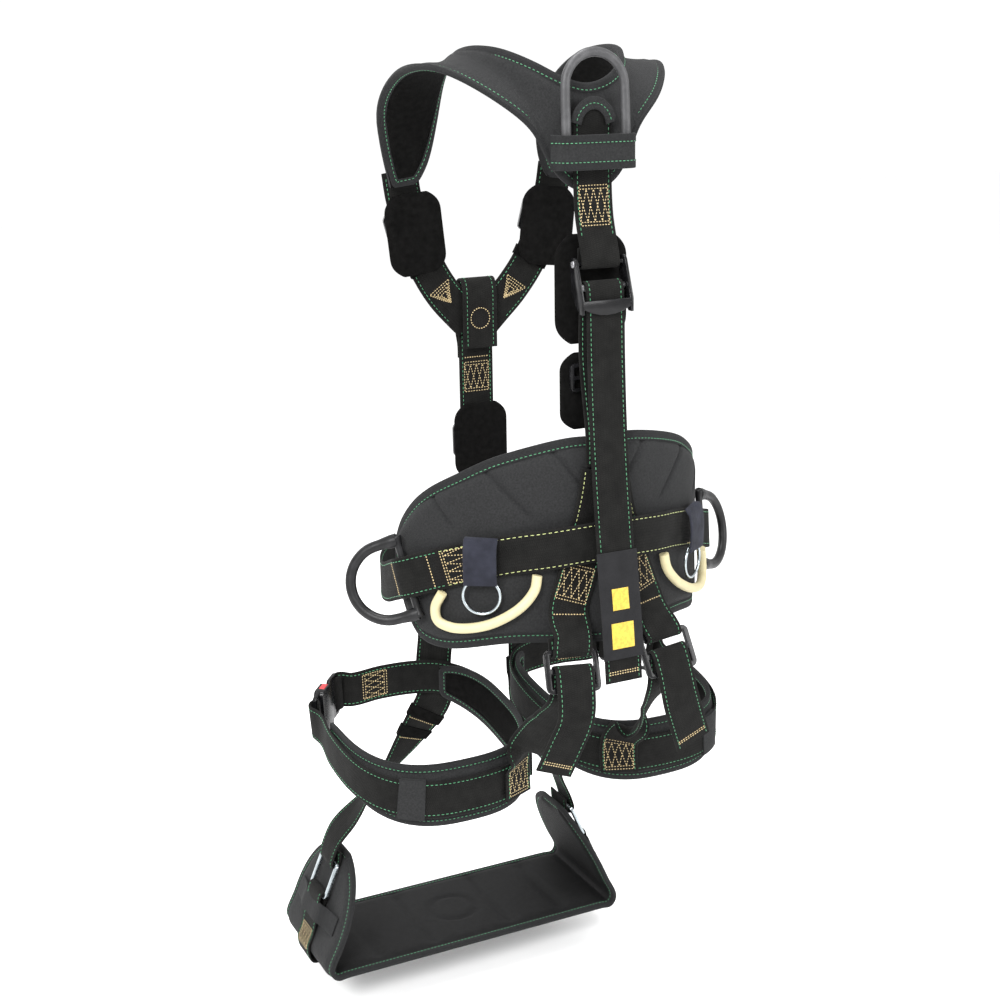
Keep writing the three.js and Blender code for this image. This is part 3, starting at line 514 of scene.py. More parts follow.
# ---- padded sheets --------------------------------------------------------
class Pad:
    """A padded sheet over a grid: plump in the middle, pinched at a bound edge."""

    def __init__(self, point, nu, nv, thick, out, edge=14.0, rim=2.6, groove=None, margin=0.0):
        self.nu, self.nv = nu, nv
        self.mid = [[point(i / nu, j / nv) for j in range(nv + 1)] for i in range(nu + 1)]
        self.normal = [[self._normal(i, j) for j in range(nv + 1)] for i in range(nu + 1)]
        middle = (nu // 2, nv // 2)
        if self.normal[middle[0]][middle[1]].dot(out(self.mid[middle[0]][middle[1]])) < 0:
            self.normal = [[-n for n in row] for row in self.normal]
        self.half = [[0.0] * (nv + 1) for _ in range(nu + 1)]
        self.along, self.across = self._lengths()
        for i in range(nu + 1):
            for j in range(nv + 1):
                u, v = self.along[i][j], self.across[i][j]
                total_u, total_v = self.along[nu][j], self.across[i][nv]
                near = min(u, total_u - u, v, total_v - v)
                t = min(1.0, max(0.0, (near - margin) / edge))
                plump = math.sqrt(1 - (1 - t) ** 2)
                half = rim + (thick / 2 - rim) * plump
                if groove:
                    half -= groove(i / nu, j / nv, u, v) * min(1.0, near / 8)
                self.half[i][j] = half

    def _normal(self, i, j):
        a, b = max(i - 1, 0), min(i + 1, self.nu)
        c, d = max(j - 1, 0), min(j + 1, self.nv)
        du, dv = self.mid[b][j] - self.mid[a][j], self.mid[i][d] - self.mid[i][c]
        return du.cross(dv).normalized()

    def _lengths(self):
        along = [[0.0] * (self.nv + 1) for _ in range(self.nu + 1)]
        across = [[0.0] * (self.nv + 1) for _ in range(self.nu + 1)]
        for i in range(self.nu + 1):
            for j in range(self.nv + 1):
                if i:
                    along[i][j] = along[i - 1][j] + (self.mid[i][j] - self.mid[i - 1][j]).length
                if j:
                    across[i][j] = across[i][j - 1] + (self.mid[i][j] - self.mid[i][j - 1]).length
        return along, across

    def shell(self, build, outside, inside):
        start, rows = len(build.verts), self.nv + 1
        for sign in (1, -1):
            for i in range(self.nu + 1):
                for j in range(rows):
                    build.verts.append(self.mid[i][j] + self.normal[i][j] * (sign * self.half[i][j]))
        size = (self.nu + 1) * rows

        def uv(i, j):
            return (self.along[i][self.nv // 2] * UV_SCALE, self.across[i][j] * UV_SCALE)
        for side, material in enumerate((outside, inside)):
            slot = build.slot(material)
            for i in range(self.nu):
                for j in range(self.nv):
                    ring = [(i, j), (i + 1, j), (i + 1, j + 1), (i, j + 1)]
                    build.face([start + side * size + a * rows + b for a, b in ring],
                               [uv(a, b) for a, b in ring], slot)
        slot = build.slot(outside)
        loop = self.outline()
        for (a, b), (c, d) in zip(loop, loop[1:] + loop[:1]):
            corners = [start + a * rows + b, start + c * rows + d,
                       start + size + c * rows + d, start + size + a * rows + b]
            build.face(corners, [uv(a, b), uv(c, d), uv(c, d), uv(a, b)], slot)

    def outline(self):
        nu, nv = self.nu, self.nv
        return ([(i, 0) for i in range(nu)] + [(nu, j) for j in range(nv)]
                + [(i, nv) for i in range(nu, 0, -1)] + [(0, j) for j in range(nv, 0, -1)])

    def rim_frames(self):
        """Evenly smoothed (point, inward, normal) frames round the outline."""
        loop = self.outline()
        points = [self.mid[i][j].copy() for i, j in loop]
        normals = [self.normal[i][j].copy() for i, j in loop]
        inner = [self.mid[min(max(i, 2), self.nu - 2)][min(max(j, 2), self.nv - 2)]
                 for i, j in loop]
        for _ in range(RIM_SMOOTHING):
            points, normals = (
                [(row[k - 1] + row[k] * 2 + row[(k + 1) % len(row)]) / 4 for k in range(len(row))]
                for row in (points, normals))
        frames, votes = [], 0
        for k, point in enumerate(points):
            tangent = points[(k + 1) % len(points)] - points[k - 1]
            if tangent.length < 1e-3:
                continue
            normal = normals[k].normalized()
            inward = normal.cross(tangent).normalized()
            votes += 1 if inward.dot(inner[k] - point) > 0 else -1
            frames.append((point, inward, normal))
        return frames if votes > 0 else [(p, -i, n) for p, i, n in frames]

    def bind(self, build, rim, width, inset):
        """Tape folded over the edge, with its row of stitches on both faces."""
        frames = self.rim_frames()
        high = rim + BINDING_PROUD
        section = [(width, 0.4 * high), (width, high), (width * 0.55, high), (1.5, high),
                   (-0.9, high * 0.7), (-1.3, 0), (-0.9, -high * 0.7), (1.5, -high),
                   (width * 0.55, -high), (width, -high), (width, -0.4 * high)]
        rings, s = [], 0.0
        for k, (point, inward, normal) in enumerate(frames):
            if k:
                s += (point - frames[k - 1][0]).length
            rings.append([(point + inward * a + normal * b, (s * UV_SCALE, m * 0.02))
                          for m, (a, b) in enumerate(section)])
        build.sweep(rings, BINDING, loop=True)
        for sign in (1, -1):
            path = [p + i * inset + n * sign * (high + 0.1) for p, i, n in frames]
            build.stitches(path + path[:1], [n * sign for _, _, n in frames]
                           + [frames[0][2] * sign], GREEN, 5.0)


def bound_pad(name, body, node, pad, rim, width, inset=6.4, lining=LINING):
    """A charcoal pad with a bound and stitched edge, crowned by its own shape."""
    build = Build(name)
    pad.shell(build, CHARCOAL, lining)
    pad.bind(build, rim, width, inset)
    piece = build.finish(body, node, slot="pad_fabric", smooth=60)


def puffed(build, node, pressure=3.0, cap=2.5):
    """Inflates a closed pad with cloth pressure, keeping each point within `cap` mm."""
    piece = build.finish(ROOT, node, slot="pad_liner", smooth=180)
    rest = [v.co.copy() for v in piece.data.vertices]
    cloth = piece.modifiers.new("cloth", "CLOTH")
    cloth.settings.use_pressure = True
    cloth.settings.uniform_pressure_force = pressure
    cloth.settings.effector_weights.gravity = 0
    cloth.settings.quality = 4
    for at in range(1, 21):
        bpy.context.scene.frame_set(at)
    bake_modifiers(piece)
    bpy.context.scene.frame_set(1)
    for vertex, home in zip(piece.data.vertices, rest):
        move = vertex.co - home
        if move.length > cap * MM:
            vertex.co = home + move.normalized() * cap * MM
    smoother = piece.modifiers.new("smooth", "SMOOTH")
    smoother.iterations = 3
    fine = piece.modifiers.new("fine", "SUBSURF")
    fine.levels = fine.render_levels = 1
    bake_modifiers(piece)
    piece.data.shade_smooth()


def bake_modifiers(piece):
    graph = bpy.context.evaluated_depsgraph_get()
    mesh = bpy.data.meshes.new_from_object(piece.evaluated_get(graph))
    piece.modifiers.clear()
    piece.data = mesh


# ---- hardware -------------------------------------------------------------
def refined(node, material, body=ROOT, bevel=0.9, segments=3):
    """A CAD node's own shape with its machined edges rounded over."""
    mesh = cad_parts[node].data.copy()
    mesh.materials.clear()
    mesh.materials.append(material)
    work = bmesh.new()
    work.from_mesh(mesh)
    bmesh.ops.remove_doubles(work, verts=work.verts, dist=2e-6)
    bmesh.ops.dissolve_limit(work, angle_limit=math.radians(2), verts=work.verts, edges=work.edges)
    for face in work.faces:
        face.material_index = 0
    work.to_mesh(mesh)
    work.free()
    piece = bpy.data.objects.new(node + "_finished", mesh)
    bpy.context.scene.collection.objects.link(piece)
    rounded = piece.modifiers.new("bevel", "BEVEL")
    rounded.width, rounded.segments = bevel * MM, segments
    rounded.limit_method, rounded.angle_limit = "ANGLE", math.radians(38)
    rounded.use_clamp_overlap = True
    bake_modifiers(piece)
    piece.data.shade_smooth()
    piece.data.set_sharp_from_angle(angle=math.radians(42))
    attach(piece, body)
    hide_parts(node)


def rod(build, points, radius, material, sides, squash=1.0, up=None):
    """A round or oval rod along points; radius is a number, or gives it at share 0 to 1."""
    path = Spline(points)
    count = (len(points) - 1) * 8
    normal = up or V(0.3, 0.2, 0.93)
    rings = []
    for i in range(count + 1):
        u = i / count
        tangent = path.tangent(u)
        normal = (normal - tangent * normal.dot(tangent)).normalized()
        side = tangent.cross(normal)
        r = radius(u) if callable(radius) else radius
        rings.append([(path.point(u) + side * r * math.cos(t) + normal * r * squash * math.sin(t),
                       (u, t * 0.01))
                      for t in (2 * math.pi * k / sides for k in range(sides))])
    build.sweep(rings, material)


def bow_points(center, across, up, width, height):
    """Stations of a D-ring's bow, from one bar end over the top to the other."""
    radius = width / 2
    top = height - radius
    places = [(-radius, 0), (-radius, top * 0.4), (-radius, top * 0.8)]
    places += [(-radius * math.cos(math.radians(t)), top + radius * math.sin(math.radians(t)))
               for t in range(15, 180, 15)]
    places += [(radius, top * 0.8), (radius, top * 0.4), (radius, 0)]
    return [center + across * x + up * y for x, y in places]


# ---- body curves shared by pads and straps ---------------------------------
WAIST_A, WAIST_BACK, WAIST_FRONT = 187.0, 140.0, 160.0
BELT_BACK_Z, BELT_DROP = -505.0, 59.0


def waist_depth(angle):
    return WAIST_FRONT if abs(angle) > 90 else WAIST_BACK


def waist(angle, z, offset=0.0):
    turn = math.radians(angle)
    return V((WAIST_A + offset) * math.sin(turn), (waist_depth(angle) + offset) * math.cos(turn), z)


def waist_facing(angle):
    turn = math.radians(angle)
    return V(math.sin(turn) / WAIST_A, math.cos(turn) / waist_depth(angle), 0).normalized()


def belt_z(angle):
    turn = math.radians(min(abs(angle), 100))
    return BELT_BACK_Z - BELT_DROP * (1 - math.cos(turn))


def flare(angle, z):
    below = max(0.0, (belt_z(angle) - z) / 115)
    return 17 * below ** 1.5 * max(0.0, math.cos(math.radians(angle))) ** 2


LEG_X, LEG_Y, LEG_RX, LEG_RY, LEG_Z, LEG_TILT, LEG_POWER = 130, -65, 105, 125, -785, 0.16, 2.7


def soft_power(value, power):
    return math.copysign(abs(value) ** power, value)


def leg_facing(angle):
    turn, power = math.radians(angle), 2 - 2 / LEG_POWER
    return V(soft_power(math.cos(turn), power) / LEG_RX,
             soft_power(math.sin(turn), power) / LEG_RY, 0).normalized()


def leg_point(angle, offset=0.0, lift=0.0):
    turn, power = math.radians(angle), 2 / LEG_POWER
    point = V(LEG_X + LEG_RX * soft_power(math.cos(turn), power),
              LEG_Y + LEG_RY * soft_power(math.sin(turn), power), 0) + leg_facing(angle) * offset
    point.z = LEG_Z - (point.y - LEG_Y) * LEG_TILT + lift
    return point


# ---- shoulders -------------------------------------------------------------
YOKE_NECK = [
    V(0, 106, -34), V(26, 104, -27), V(50, 88, -12), V(70, 50, 2), V(78, 0, 5),
    V(75, -55, -4), V(68, -100, -32), V(65, -128, -75), V(72, -138, -118), V(84, -141, -142),
]
YOKE_ARM = [
    V(0, 112, -142), V(30, 111, -129), V(47, 110, -106), V(62, 106, -76), V(96, 90, -46),
    V(128, 48, -20), V(143, 0, -13), V(145, -62, -25), V(143, -110, -62), V(118, -140, -146),
]
PLATE_FACE = 115.5
DORSAL_BAR = V(0, 126.5, -93)
BUCKLE_TOP = V(0, 131, -212)
ROLLER = V(0, 137, -236)


def whole(half):
    return Spline([*reversed(half), *[flipped(p) for p in half[1:]]])


def make_yoke():
    neck, arm = whole(YOKE_NECK), whole(YOKE_ARM)

    def point(u, v):
        return neck.point(u).lerp(arm.point(u), v)
    pad = Pad(point, 132, 20, 9.6, lambda p: p - V(0, 0, -150), edge=9, rim=2.4, margin=11)
    bound_pad("yoke_pad", ROOT, "yoke", pad, 2.4, 9)


def make_dorsal():
    y = PLATE_FACE + 2.1
    strap = Strap([
        (V(0, y, -58), BACK), (V(0, y, -90), BACK), (V(0, y + 0.4, -130), BACK),
        (V(0, y + 4, -165), BACK), *wrap(BUCKLE_TOP, V(0, 0, -1), BACK, 4.6, 16),
    ])
    build = sewn("dorsal_webbing", strap, s1=128)
    strap.box(build, 76, 117)
    build.finish(ROOT, "dorsal_web", slot="webbing")

    band = Strap([(V(x, y_, -100), BACK) for x, y_ in (
        (-47.5, PLATE_FACE + 2.2), (-44, PLATE_FACE + 8), (-40, PLATE_FACE + 18),
        (-32, PLATE_FACE + 20.7), (0, PLATE_FACE + 20.9), (32, PLATE_FACE + 20.7),
        (40, PLATE_FACE + 18), (44, PLATE_FACE + 8), (47.5, PLATE_FACE + 2.2))], width=34, ply=2.4)
    build = Build("dorsal_cover")
    band.strip(build, CHARCOAL, round_=1.1)
    band.strip(build, BINDING, sides=(-17.6, -8.5), depths=(-1.2, 1.9))
    band.strip(build, BINDING, sides=(8.5, 17.6), depths=(-1.2, 1.9))
    for a in (-9.6, 9.6):
        path = [band.on(band.length * i / 60, a, 0.8) for i in range(61)]
        build.stitches([p for p, _ in path], [n for _, n in path], GREEN, 4.6)
    build.finish(ROOT, "dorsal_cover_band", slot="pad_fabric")

    arch = [math.radians(turn) for turn in range(-80, 81, 20)]
    flap = Strap([(V(21 * math.sin(t), PLATE_FACE + 5.2, -76 + 24 * math.cos(t)), BACK)
                  for t in arch], width=13, ply=2.2)
    build = Build("dorsal_flap")
    flap.strip(build, CHARCOAL, round_=1.0)
    flap.row(build, [(2, 0), (flap.length - 2, 0)], GREEN, 4.6)
    build.finish(ROOT, slot="pad_fabric")


def make_dorsal_ring():
    lean = math.radians(3)
    up = V(0, -math.sin(lean), math.cos(lean))
    build = Build("dorsal_ring")
    points = bow_points(DORSAL_BAR, V(1, 0, 0), up, 69, 91)

    def section(u):
        near = min(u, 1 - u)
        return lerp(5.2, 5.0, min(1.0, max(0.0, (near - 0.10) / 0.06)))
    rod(build, points, section, FORGED, 18, 0.84, BACK)
    bar = [DORSAL_BAR + V(x, 0, 0) for x in (-36, -18, 0, 18, 36)]
    rod(build, bar, 4.4, FORGED, 16, up=UP)
    build.finish("dorsal_ring", "dorsal_d_ring", slot="forged_steel", smooth=180)


# ---- back ------------------------------------------------------------------
TAIL = [V(-1, 143.6, -268), V(-1, 145, -310), V(-1, 148.5, -370), V(-1, 155, -435),
        V(-1, 166, -520), V(-1, 178, -600), V(-1, 184, -655)]


def make_back_strap():
    strap = Strap([
        (V(0, 142.8, -424), FRONT), (V(0, 142.8, -405), FRONT), (V(0, 141.8, -386), FRONT),
        (V(0, 135, -350), FRONT), (V(0, 128.6, -312), FRONT), (V(0, 128.6, -270), FRONT),
        *wrap(ROLLER, UP, FRONT, 5.9, 0)[:5], *[(p, BACK) for p in TAIL],
    ])
    build = sewn("back_webbing", strap)
    strap.bar(build, strap.length - 12)
    strap.bar(build, strap.length - 9.4)
    build.finish(ROOT, "back_strap", slot="webbing")

    tail = Spline(TAIL)
    stations = []
    for u in (0.655, 0.74, 0.83, 0.92):
        along = tail.tangent(u)
        face = (BACK - along * along.y).normalized()
        stations.append((tail.point(u) + face * (PLY / 2 + 1.3), face))
    label = Strap(stations, width=49, ply=1.6)
    build = Build("plain_tag")
    label.strip(build, TAG, round_=0.6)
    top = label.ply / 2
    for start, end, half in ((0.34, 0.54, 10), (0.66, 0.9, 13.5)):
        label.strip(build, YELLOW, label.length * start, label.length * end, (-half, half),
                    (top, top + 0.35), round_=0.15)
    build.finish(ROOT, "label_tag", slot="label_cloth")


def tongue_point(center, width, height, facing, tilt=0.0):
    up = V(math.sin(tilt), 0, math.cos(tilt))
    across = up.cross(facing).normalized()

    def half(u):
        end = max(0.0, abs(2 * u - 1) - 0.5)
        return width / 2 * (1 - 0.45 * (end / 0.5) ** 2.6)

    def point(u, v):
        return center + up * ((u - 0.5) * height) + across * (half(u) * (2 * v - 1))
    return point


def make_tongue(name, node, center, width, height, facing, tilt=0.0):
    shrink = 0.95               # leaves room for the pad to swell
    point = tongue_point(center, width * shrink, height * shrink, facing, tilt)
    pad = Pad(point, 40, 24, 8.0, lambda p: facing, edge=20, rim=1.6)
    build = Build(name)
    pad.shell(build, LINING, LINING)
    puffed(build, node)


def make_adjuster():
    refined("adjuster_frame", BLACK, bevel=0.7)
    build = Build("adjuster_rivets")
    for side in (-1, 1):
        rod(build, [BUCKLE_TOP + V(side * x, 0, 0) for x in (30.7, 31.6, 32.4)],
            lambda u: 3.9 * math.sqrt(1 - 0.8 * u * u), STEEL, 18, up=UP)
    build.finish(ROOT, slot="roller_steel", smooth=35)
    build = Build("adjuster_roller_turned")
    half = 26.5
    rod(build, [ROLLER + V(x, 0, 0) for x in (-half, -half / 2, 0, half / 2, half)],
        lambda u: 3.5 if min(u, 1 - u) < 0.04 else 3.98, STEEL, 28, up=UP)
    build.finish("roller", "adjuster_roller", slot="roller_steel", smooth=35)


# ---- lumbar ----------------------------------------------------------------
PAD_TOP = profile([(-1, -394), (12, -393), (36, -408), (52, -428), (69, -453), (84, -490),
                   (92, -522)])
PAD_BOTTOM = profile([(-1, -620), (30, -614), (58, -626), (70, -623), (80, -602), (87, -572),
                      (92, -546)])


def make_lumbar():
    def point(u, v):
        angle = lerp(-91, 91, u)
        turn = min(91.5, abs(angle))
        z = lerp(PAD_BOTTOM(turn) + 1.5, PAD_TOP(turn) - 1.5, v)
        return waist(angle, z, flare(angle, z) - 7)

    def quilting(u, v, mm_u, mm_v):
        """Diagonal sewn channels above the belt."""
        if mm_v < 132:
            return 0.0
        at = (abs(u - 0.5) * 470 - mm_v * 0.75) % 74
        return 3.4 * math.exp(-((at - 37) / 2.9) ** 2) * min(1.0, (mm_v - 132) / 12)
    pad = Pad(point, 200, 96, 14, lambda p: V(p.x, p.y, 0), edge=14, rim=2.8, groove=quilting,
              margin=11)
    bound_pad("lumbar_support", ROOT, "lumbar_pad", pad, 2.8, 9.5, 7.2)


BELT_OFFSET = profile([
    (-1, 12.4), (20, 12.4), (30, 7), (40, 4.2), (53, 4.2), (60, 6.5), (66, 10.5), (70, 17),
    (73, 18.4), (76, 17), (80, 10.5), (86, 6.5), (96, 4.2), (150, 4.2), (210, 4.2),
])
BUCKLE_BAR = 32.75


def strap_between_bars(center, across, face, middle):
    def end(bar, neighbour, inward):
        along = (bar - neighbour).normalized().lerp(inward, 0.65).normalized()
        out = (face - along * face.dot(along)).normalized()
        lead = bar - along * 8 + out * 4.9
        return [(lead, out), *wrap(bar, along, out, 5, 5)]
    first = end(center + across * BUCKLE_BAR, middle[0][0], -across)
    last = end(center - across * BUCKLE_BAR, middle[-1][0], across)
    return Strap([*reversed(first), *middle, *last])


def waist_across(angle):
    return (waist(angle + 1, 0) - waist(angle - 1, 0)).normalized()


WAIST_BUCKLE_ANGLE = -138
BELT_ANGLES = (-118, -106, -95, -86, -80, -76, -73, -70, -66, -61, -54, -42, -30, -20, -10, 0,
               10, 20, 30, 42, 54, 61, 66, 70, 73, 76, 80, 86, 95, 106, 118, 134, 150, 165, 180,
               192, 202)


def belt_length_at(strap, angle):
    target = waist(angle, belt_z(angle), BELT_OFFSET(abs(angle)))
    return min((s * 2.0 for s in range(int(strap.length / 2))),
               key=lambda s: (strap.frame(s)[0] - target).length)


def make_belt():
    middle = [(waist(a, belt_z(a), BELT_OFFSET(abs(a))), waist_facing(a)) for a in BELT_ANGLES]
    center = waist(WAIST_BUCKLE_ANGLE, belt_z(100), 5.5)
    strap = strap_between_bars(center, waist_across(WAIST_BUCKLE_ANGLE),
                               waist_facing(WAIST_BUCKLE_ANGLE), middle)
    build = Build("waist_webbing")
    strap.strip(build, WEBBING)
    back = [belt_length_at(strap, a) for a in (-57, 57)]
    hips = [belt_length_at(strap, a) for a in (-73, 73)]
    low, high = min(back), max(back)
    strap.edges(build, PALE, low, high, inset=3.6, pitch=6.4)
    strap.edges(build, GREEN, 20, low - 2, inset=4)
    strap.edges(build, GREEN, high + 2, strap.length - 20, inset=4)
    for s, way in ((low, 1), (high, -1)):
        strap.bar(build, s - way * 14, 18)
        strap.bar(build, s + way * 2, 18)
        strap.bar(build, s + way * 5, 18)
        strap.row(build, [(s + way * 6, -18), (s + way * 42, -18)], CREAM, 3.4, radius=0.55)
        strap.row(build, [(s + way * 6, 18), (s + way * 42, 18)], CREAM, 3.4, radius=0.55)
        zigzag = [(s + way * (6 if i % 2 else 26 + (i % 4) * 4), lerp(-18, 18, i / 8))
                  for i in range(9)]
        strap.row(build, zigzag, CREAM, 3.4, radius=0.5)
    for s, way in ((hips[0], -1), (hips[1], 1)):
        for shift in (16, 18.5):
            strap.row(build, [(s + way * (shift + (i % 2) * 3), lerp(-18, 18, i / 9))
                              for i in range(10)], CREAM, 3.2, radius=0.55)
    build.finish(ROOT, "waist_belt", slot="webbing")
    for name in ("body", "tongue"):
        refined(f"waist_buckle_{name}", BLACK, bevel=1.3)
    refined("waist_buckle_release", RED, "waist_release", bevel=0.6)


HIP_ANGLE, TAB_ANGLE = 73, 42   # degrees round the waist from the spine
GEAR_RADIUS, GEAR_WIRE = 20, 1.6


def hip_frame():
    normal = waist_facing(HIP_ANGLE)
    a, b = (waist(HIP_ANGLE + d, belt_z(HIP_ANGLE + d)) for d in (1, -1))
    forward = (a - b).normalized()
    up = forward.cross(normal).normalized()
    return waist(HIP_ANGLE, belt_z(HIP_ANGLE), 9.6), normal, forward, up if up.z > 0 else -up


def make_hip(side, label):
    bar, normal, forward, up = hip_frame()
    swing = math.radians(55)
    out = normal * math.cos(swing) + forward * math.sin(swing)
    flip = to_side(side)
    build = Build(f"hip_ring_{label}")
    points = [flip(p) for p in bow_points(bar, up, out, 83, 64.5)]

    def section(u):
        near = min(u, 1 - u)
        return lerp(7.4, 6.0, min(1.0, max(0.0, (near - 0.05) / 0.08)))
    rod(build, points, section, DARK_RING, 18, 0.86, flip(up.cross(out)))
    rod(build, [flip(bar + up * a) for a in (-45.5, -22, 0, 22, 45.5)],
        lambda u: 4.2 + 1.9 * max(0.0, 1 - min(u, 1 - u) / 0.1), DARK_RING, 16, up=flip(normal))
    build.finish(f"hip_ring_{label}", f"hip_d_ring_{label}", slot="forged_steel", smooth=180)

    stations = [(waist(a, belt_z(a), 2.2), waist_facing(a)) for a in (58, 64, 73, 82, 88)]
    backing = Strap([(flip(p), flip(f)) for p, f in stations], ply=2)
    build = sewn(f"hip_backing_{label}", backing, under=False)
    build.finish(ROOT, f"hip_ring_backing_{label}", slot="webbing")

    route = [(57, 3.5), (60, 18), (59, 33), (54, 43), (47, 48), (38, 47), (29, 35), (24.5, 19),
             (23.5, 3.5)]
    points = []
    for angle, below in route:
        z = belt_z(angle) - WEB / 2 - 0.5 - below
        points.append(flip(waist(angle, z, 8.5 + flare(angle, z))))
    build = Build(f"gear_tube_{label}")
    rod(build, points, 5.4, TUBE, 20)
    build.finish(ROOT, f"gear_loop_{label}", slot="cream_tube", smooth=50)

    facing, tab_z = flip(waist_facing(TAB_ANGLE)), belt_z(TAB_ANGLE)

    def tab_at(lift, offset):
        return flip(waist(TAB_ANGLE, tab_z + lift, offset)), facing
    tab = Strap([(tab_at(25, 6.5)[0], UP), tab_at(22, 12.5), tab_at(8, 16),
                 tab_at(-10, 16.2), tab_at(-25, 15.6)], width=36, ply=2)
    build = Build(f"ring_holder_{label}")
    tab.strip(build, NAVY)
    build.finish(ROOT, f"ring_tab_{label}", slot="navy_webbing")

    across = waist_across(TAB_ANGLE)
    across = across if side > 0 else V(across.x, -across.y, 0)
    center = tab_at(-18, 11)[0] - UP * GEAR_RADIUS
    build = Build(f"gear_hoop_{label}")
    rings = []
    for k in range(72):
        turn = 2 * math.pi * k / 72
        out = across * math.cos(turn) + UP * math.sin(turn)
        normal = across.cross(UP)
        rings.append([(center + out * (GEAR_RADIUS + GEAR_WIRE * math.cos(t))
                       + normal * (GEAR_WIRE * math.sin(t)), (k * 0.02, t * 0.01))
                      for t in (math.pi * n / 6 for n in range(12))])
    build.sweep(rings, PLATED, loop=True)
    build.finish(f"gear_ring_{label}", f"gear_ring_{label}", slot="plated_steel", smooth=180)


# ---- chest -----------------------------------------------------------------
def make_chest(side, label):
    deeper = 0.0 if side > 0 else 3.2
    stations = [(V(side * x, y - deep, z), FRONT) for x, y, z, deep in (
        (101, -152, -128, 0), (96, -153, -160, 0), (84, -154, -200, 0), (68, -157, -240, 0),
        (46, -161, -274, deeper / 2), (24, -163, -298, deeper), (10, -163.5, -312, deeper))]
    strap = Strap(stations)
    build = sewn(f"chest_webbing_{label}", strap, 6, strap.length - 22)
    for n in range(4):
        s0, s1 = strap.length - 62 + n * 3.2, strap.length - 36 - n * 1.5
        half = 15 - n * 3.6
        tri = [(s0, -half), (s0, half), (s1, 0), (s0, -half)]
        strap.row(build, tri, CREAM, 3.2, under=True, radius=0.55)
        strap.row(build, tri, CREAM, 3.2, radius=0.55)
    strap.sleeve(build, LINING, strap.length - 104, strap.length - 90, 1.4)
    build.finish(ROOT, f"chest_strap_{label}", slot="webbing")
    refined(f"chest_buckle_{label}", BLACK, bevel=0.9)
    tilt = math.radians(6) * side
    make_tongue(f"chest_cushion_{label}", f"chest_pad_{label}", V(side * 86, -145, -201), 76, 100,
                FRONT, tilt)


def make_front():
    loop = Strap([
        (V(0, -157, -343), BACK), (V(0, -157, -300), BACK), (V(0, -157, -273), BACK),
        (V(0, -162, -261), V(0, 0.5, 0.9)), (V(0, -171, -261), V(0, -0.5, 0.9)),
        (V(0, -180, -275), FRONT), (V(0, -184, -300), FRONT), (V(0, -180, -325), FRONT),
        (V(0, -175, -341), FRONT), (V(0, -174.6, -356), FRONT)])
    build = sewn("sternal_webbing", loop, inset=5.5)
    ring = [(36 + 12.5 * math.sin(t), 12.5 * math.cos(t))
            for t in (2 * math.pi * k / 24 for k in range(25))]
    loop.row(build, ring, CREAM, 3.2, radius=0.55)
    build.finish(ROOT, "sternal_loop", slot="webbing")

    strap = Strap([
        (V(0, -171.2, -290), FRONT), (V(0, -171.2, -330), FRONT), (V(0, -171, -360), FRONT),
        (V(0, -171, -430), FRONT), (V(0, -170.5, -498), FRONT), (V(0, -167, -518), FRONT),
        (V(0, -160.6, -538), FRONT), (V(0, -159.6, -560), FRONT), (V(0, -159.6, -588), FRONT)])
    build = sewn("front_webbing", strap)
    for under in (True, False):
        strap.box(build, 72, 108, half=16, under=under)
        strap.bar(build, 66, 16, under=under)
    build.finish(ROOT, "front_center_strap", slot="webbing")
    make_tongue("front_cushion", "front_center_pad", V(0, -161, -458), 76, 100, FRONT)
    refined("front_center_buckle", BLACK, bevel=0.9)


# ---- rear risers and leg loops ----------------------------------------------
SLIDE_CENTER, SLIDE_BAR = V(59, 178, -634), 20.5
SLIDE_UP = V(-0.1, -0.4, 0.91).normalized()
SLIDE_FACE = V(0, 0.915, 0.4)
SLIDE_FACE = (SLIDE_FACE - SLIDE_UP * SLIDE_FACE.dot(SLIDE_UP)).normalized()
REAR_ANGLE, RISER_ANGLE, LEG_BUCKLE_ANGLE = 116, 240, -47   # degrees round a leg loop
SEAT_SEAM = -30                 # height of the seat straps' seam against the leg loop's middle
FRONT_RISER_ANGLE = 161         # where a front riser leaves the belt


def one_side(side, stations):
    return Strap(stations if side > 0 else mirror_stations(stations))


def make_riser(side, label):
    high = 0.0 if side > 0 else 3.6
    on_pad = ((1.5, -429, 2.8, 1), (3, -460, 2.9, 1), (6.5, -505, 3.2, 1), (10.5, -545, 3.4, 0.9),
              (13.8, -578, 5.6, 0.3))
    stations = [(waist(a, z, offset + flare(a, z) + high * share), waist_facing(a))
                for a, z, offset, share in on_pad]
    stations.append((V(52.5, 169, -602), SLIDE_FACE))
    stations += wrap(SLIDE_CENTER + SLIDE_UP * SLIDE_BAR, -SLIDE_UP, SLIDE_FACE, 5.4, 15)
    strap = one_side(side, stations)
    build = sewn(f"rear_riser_webbing_{label}", strap, 60)
    strap.edges(build, PALE, 2, 60, under=False, inset=4.6)
    strap.box(build, 106, 145, half=18)
    strap.bar(build, 160, 18)
    build.finish(ROOT, f"rear_riser_{label}", slot="webbing")
    refined(f"slide_adjuster_{label}", BLACK, bevel=1.2)


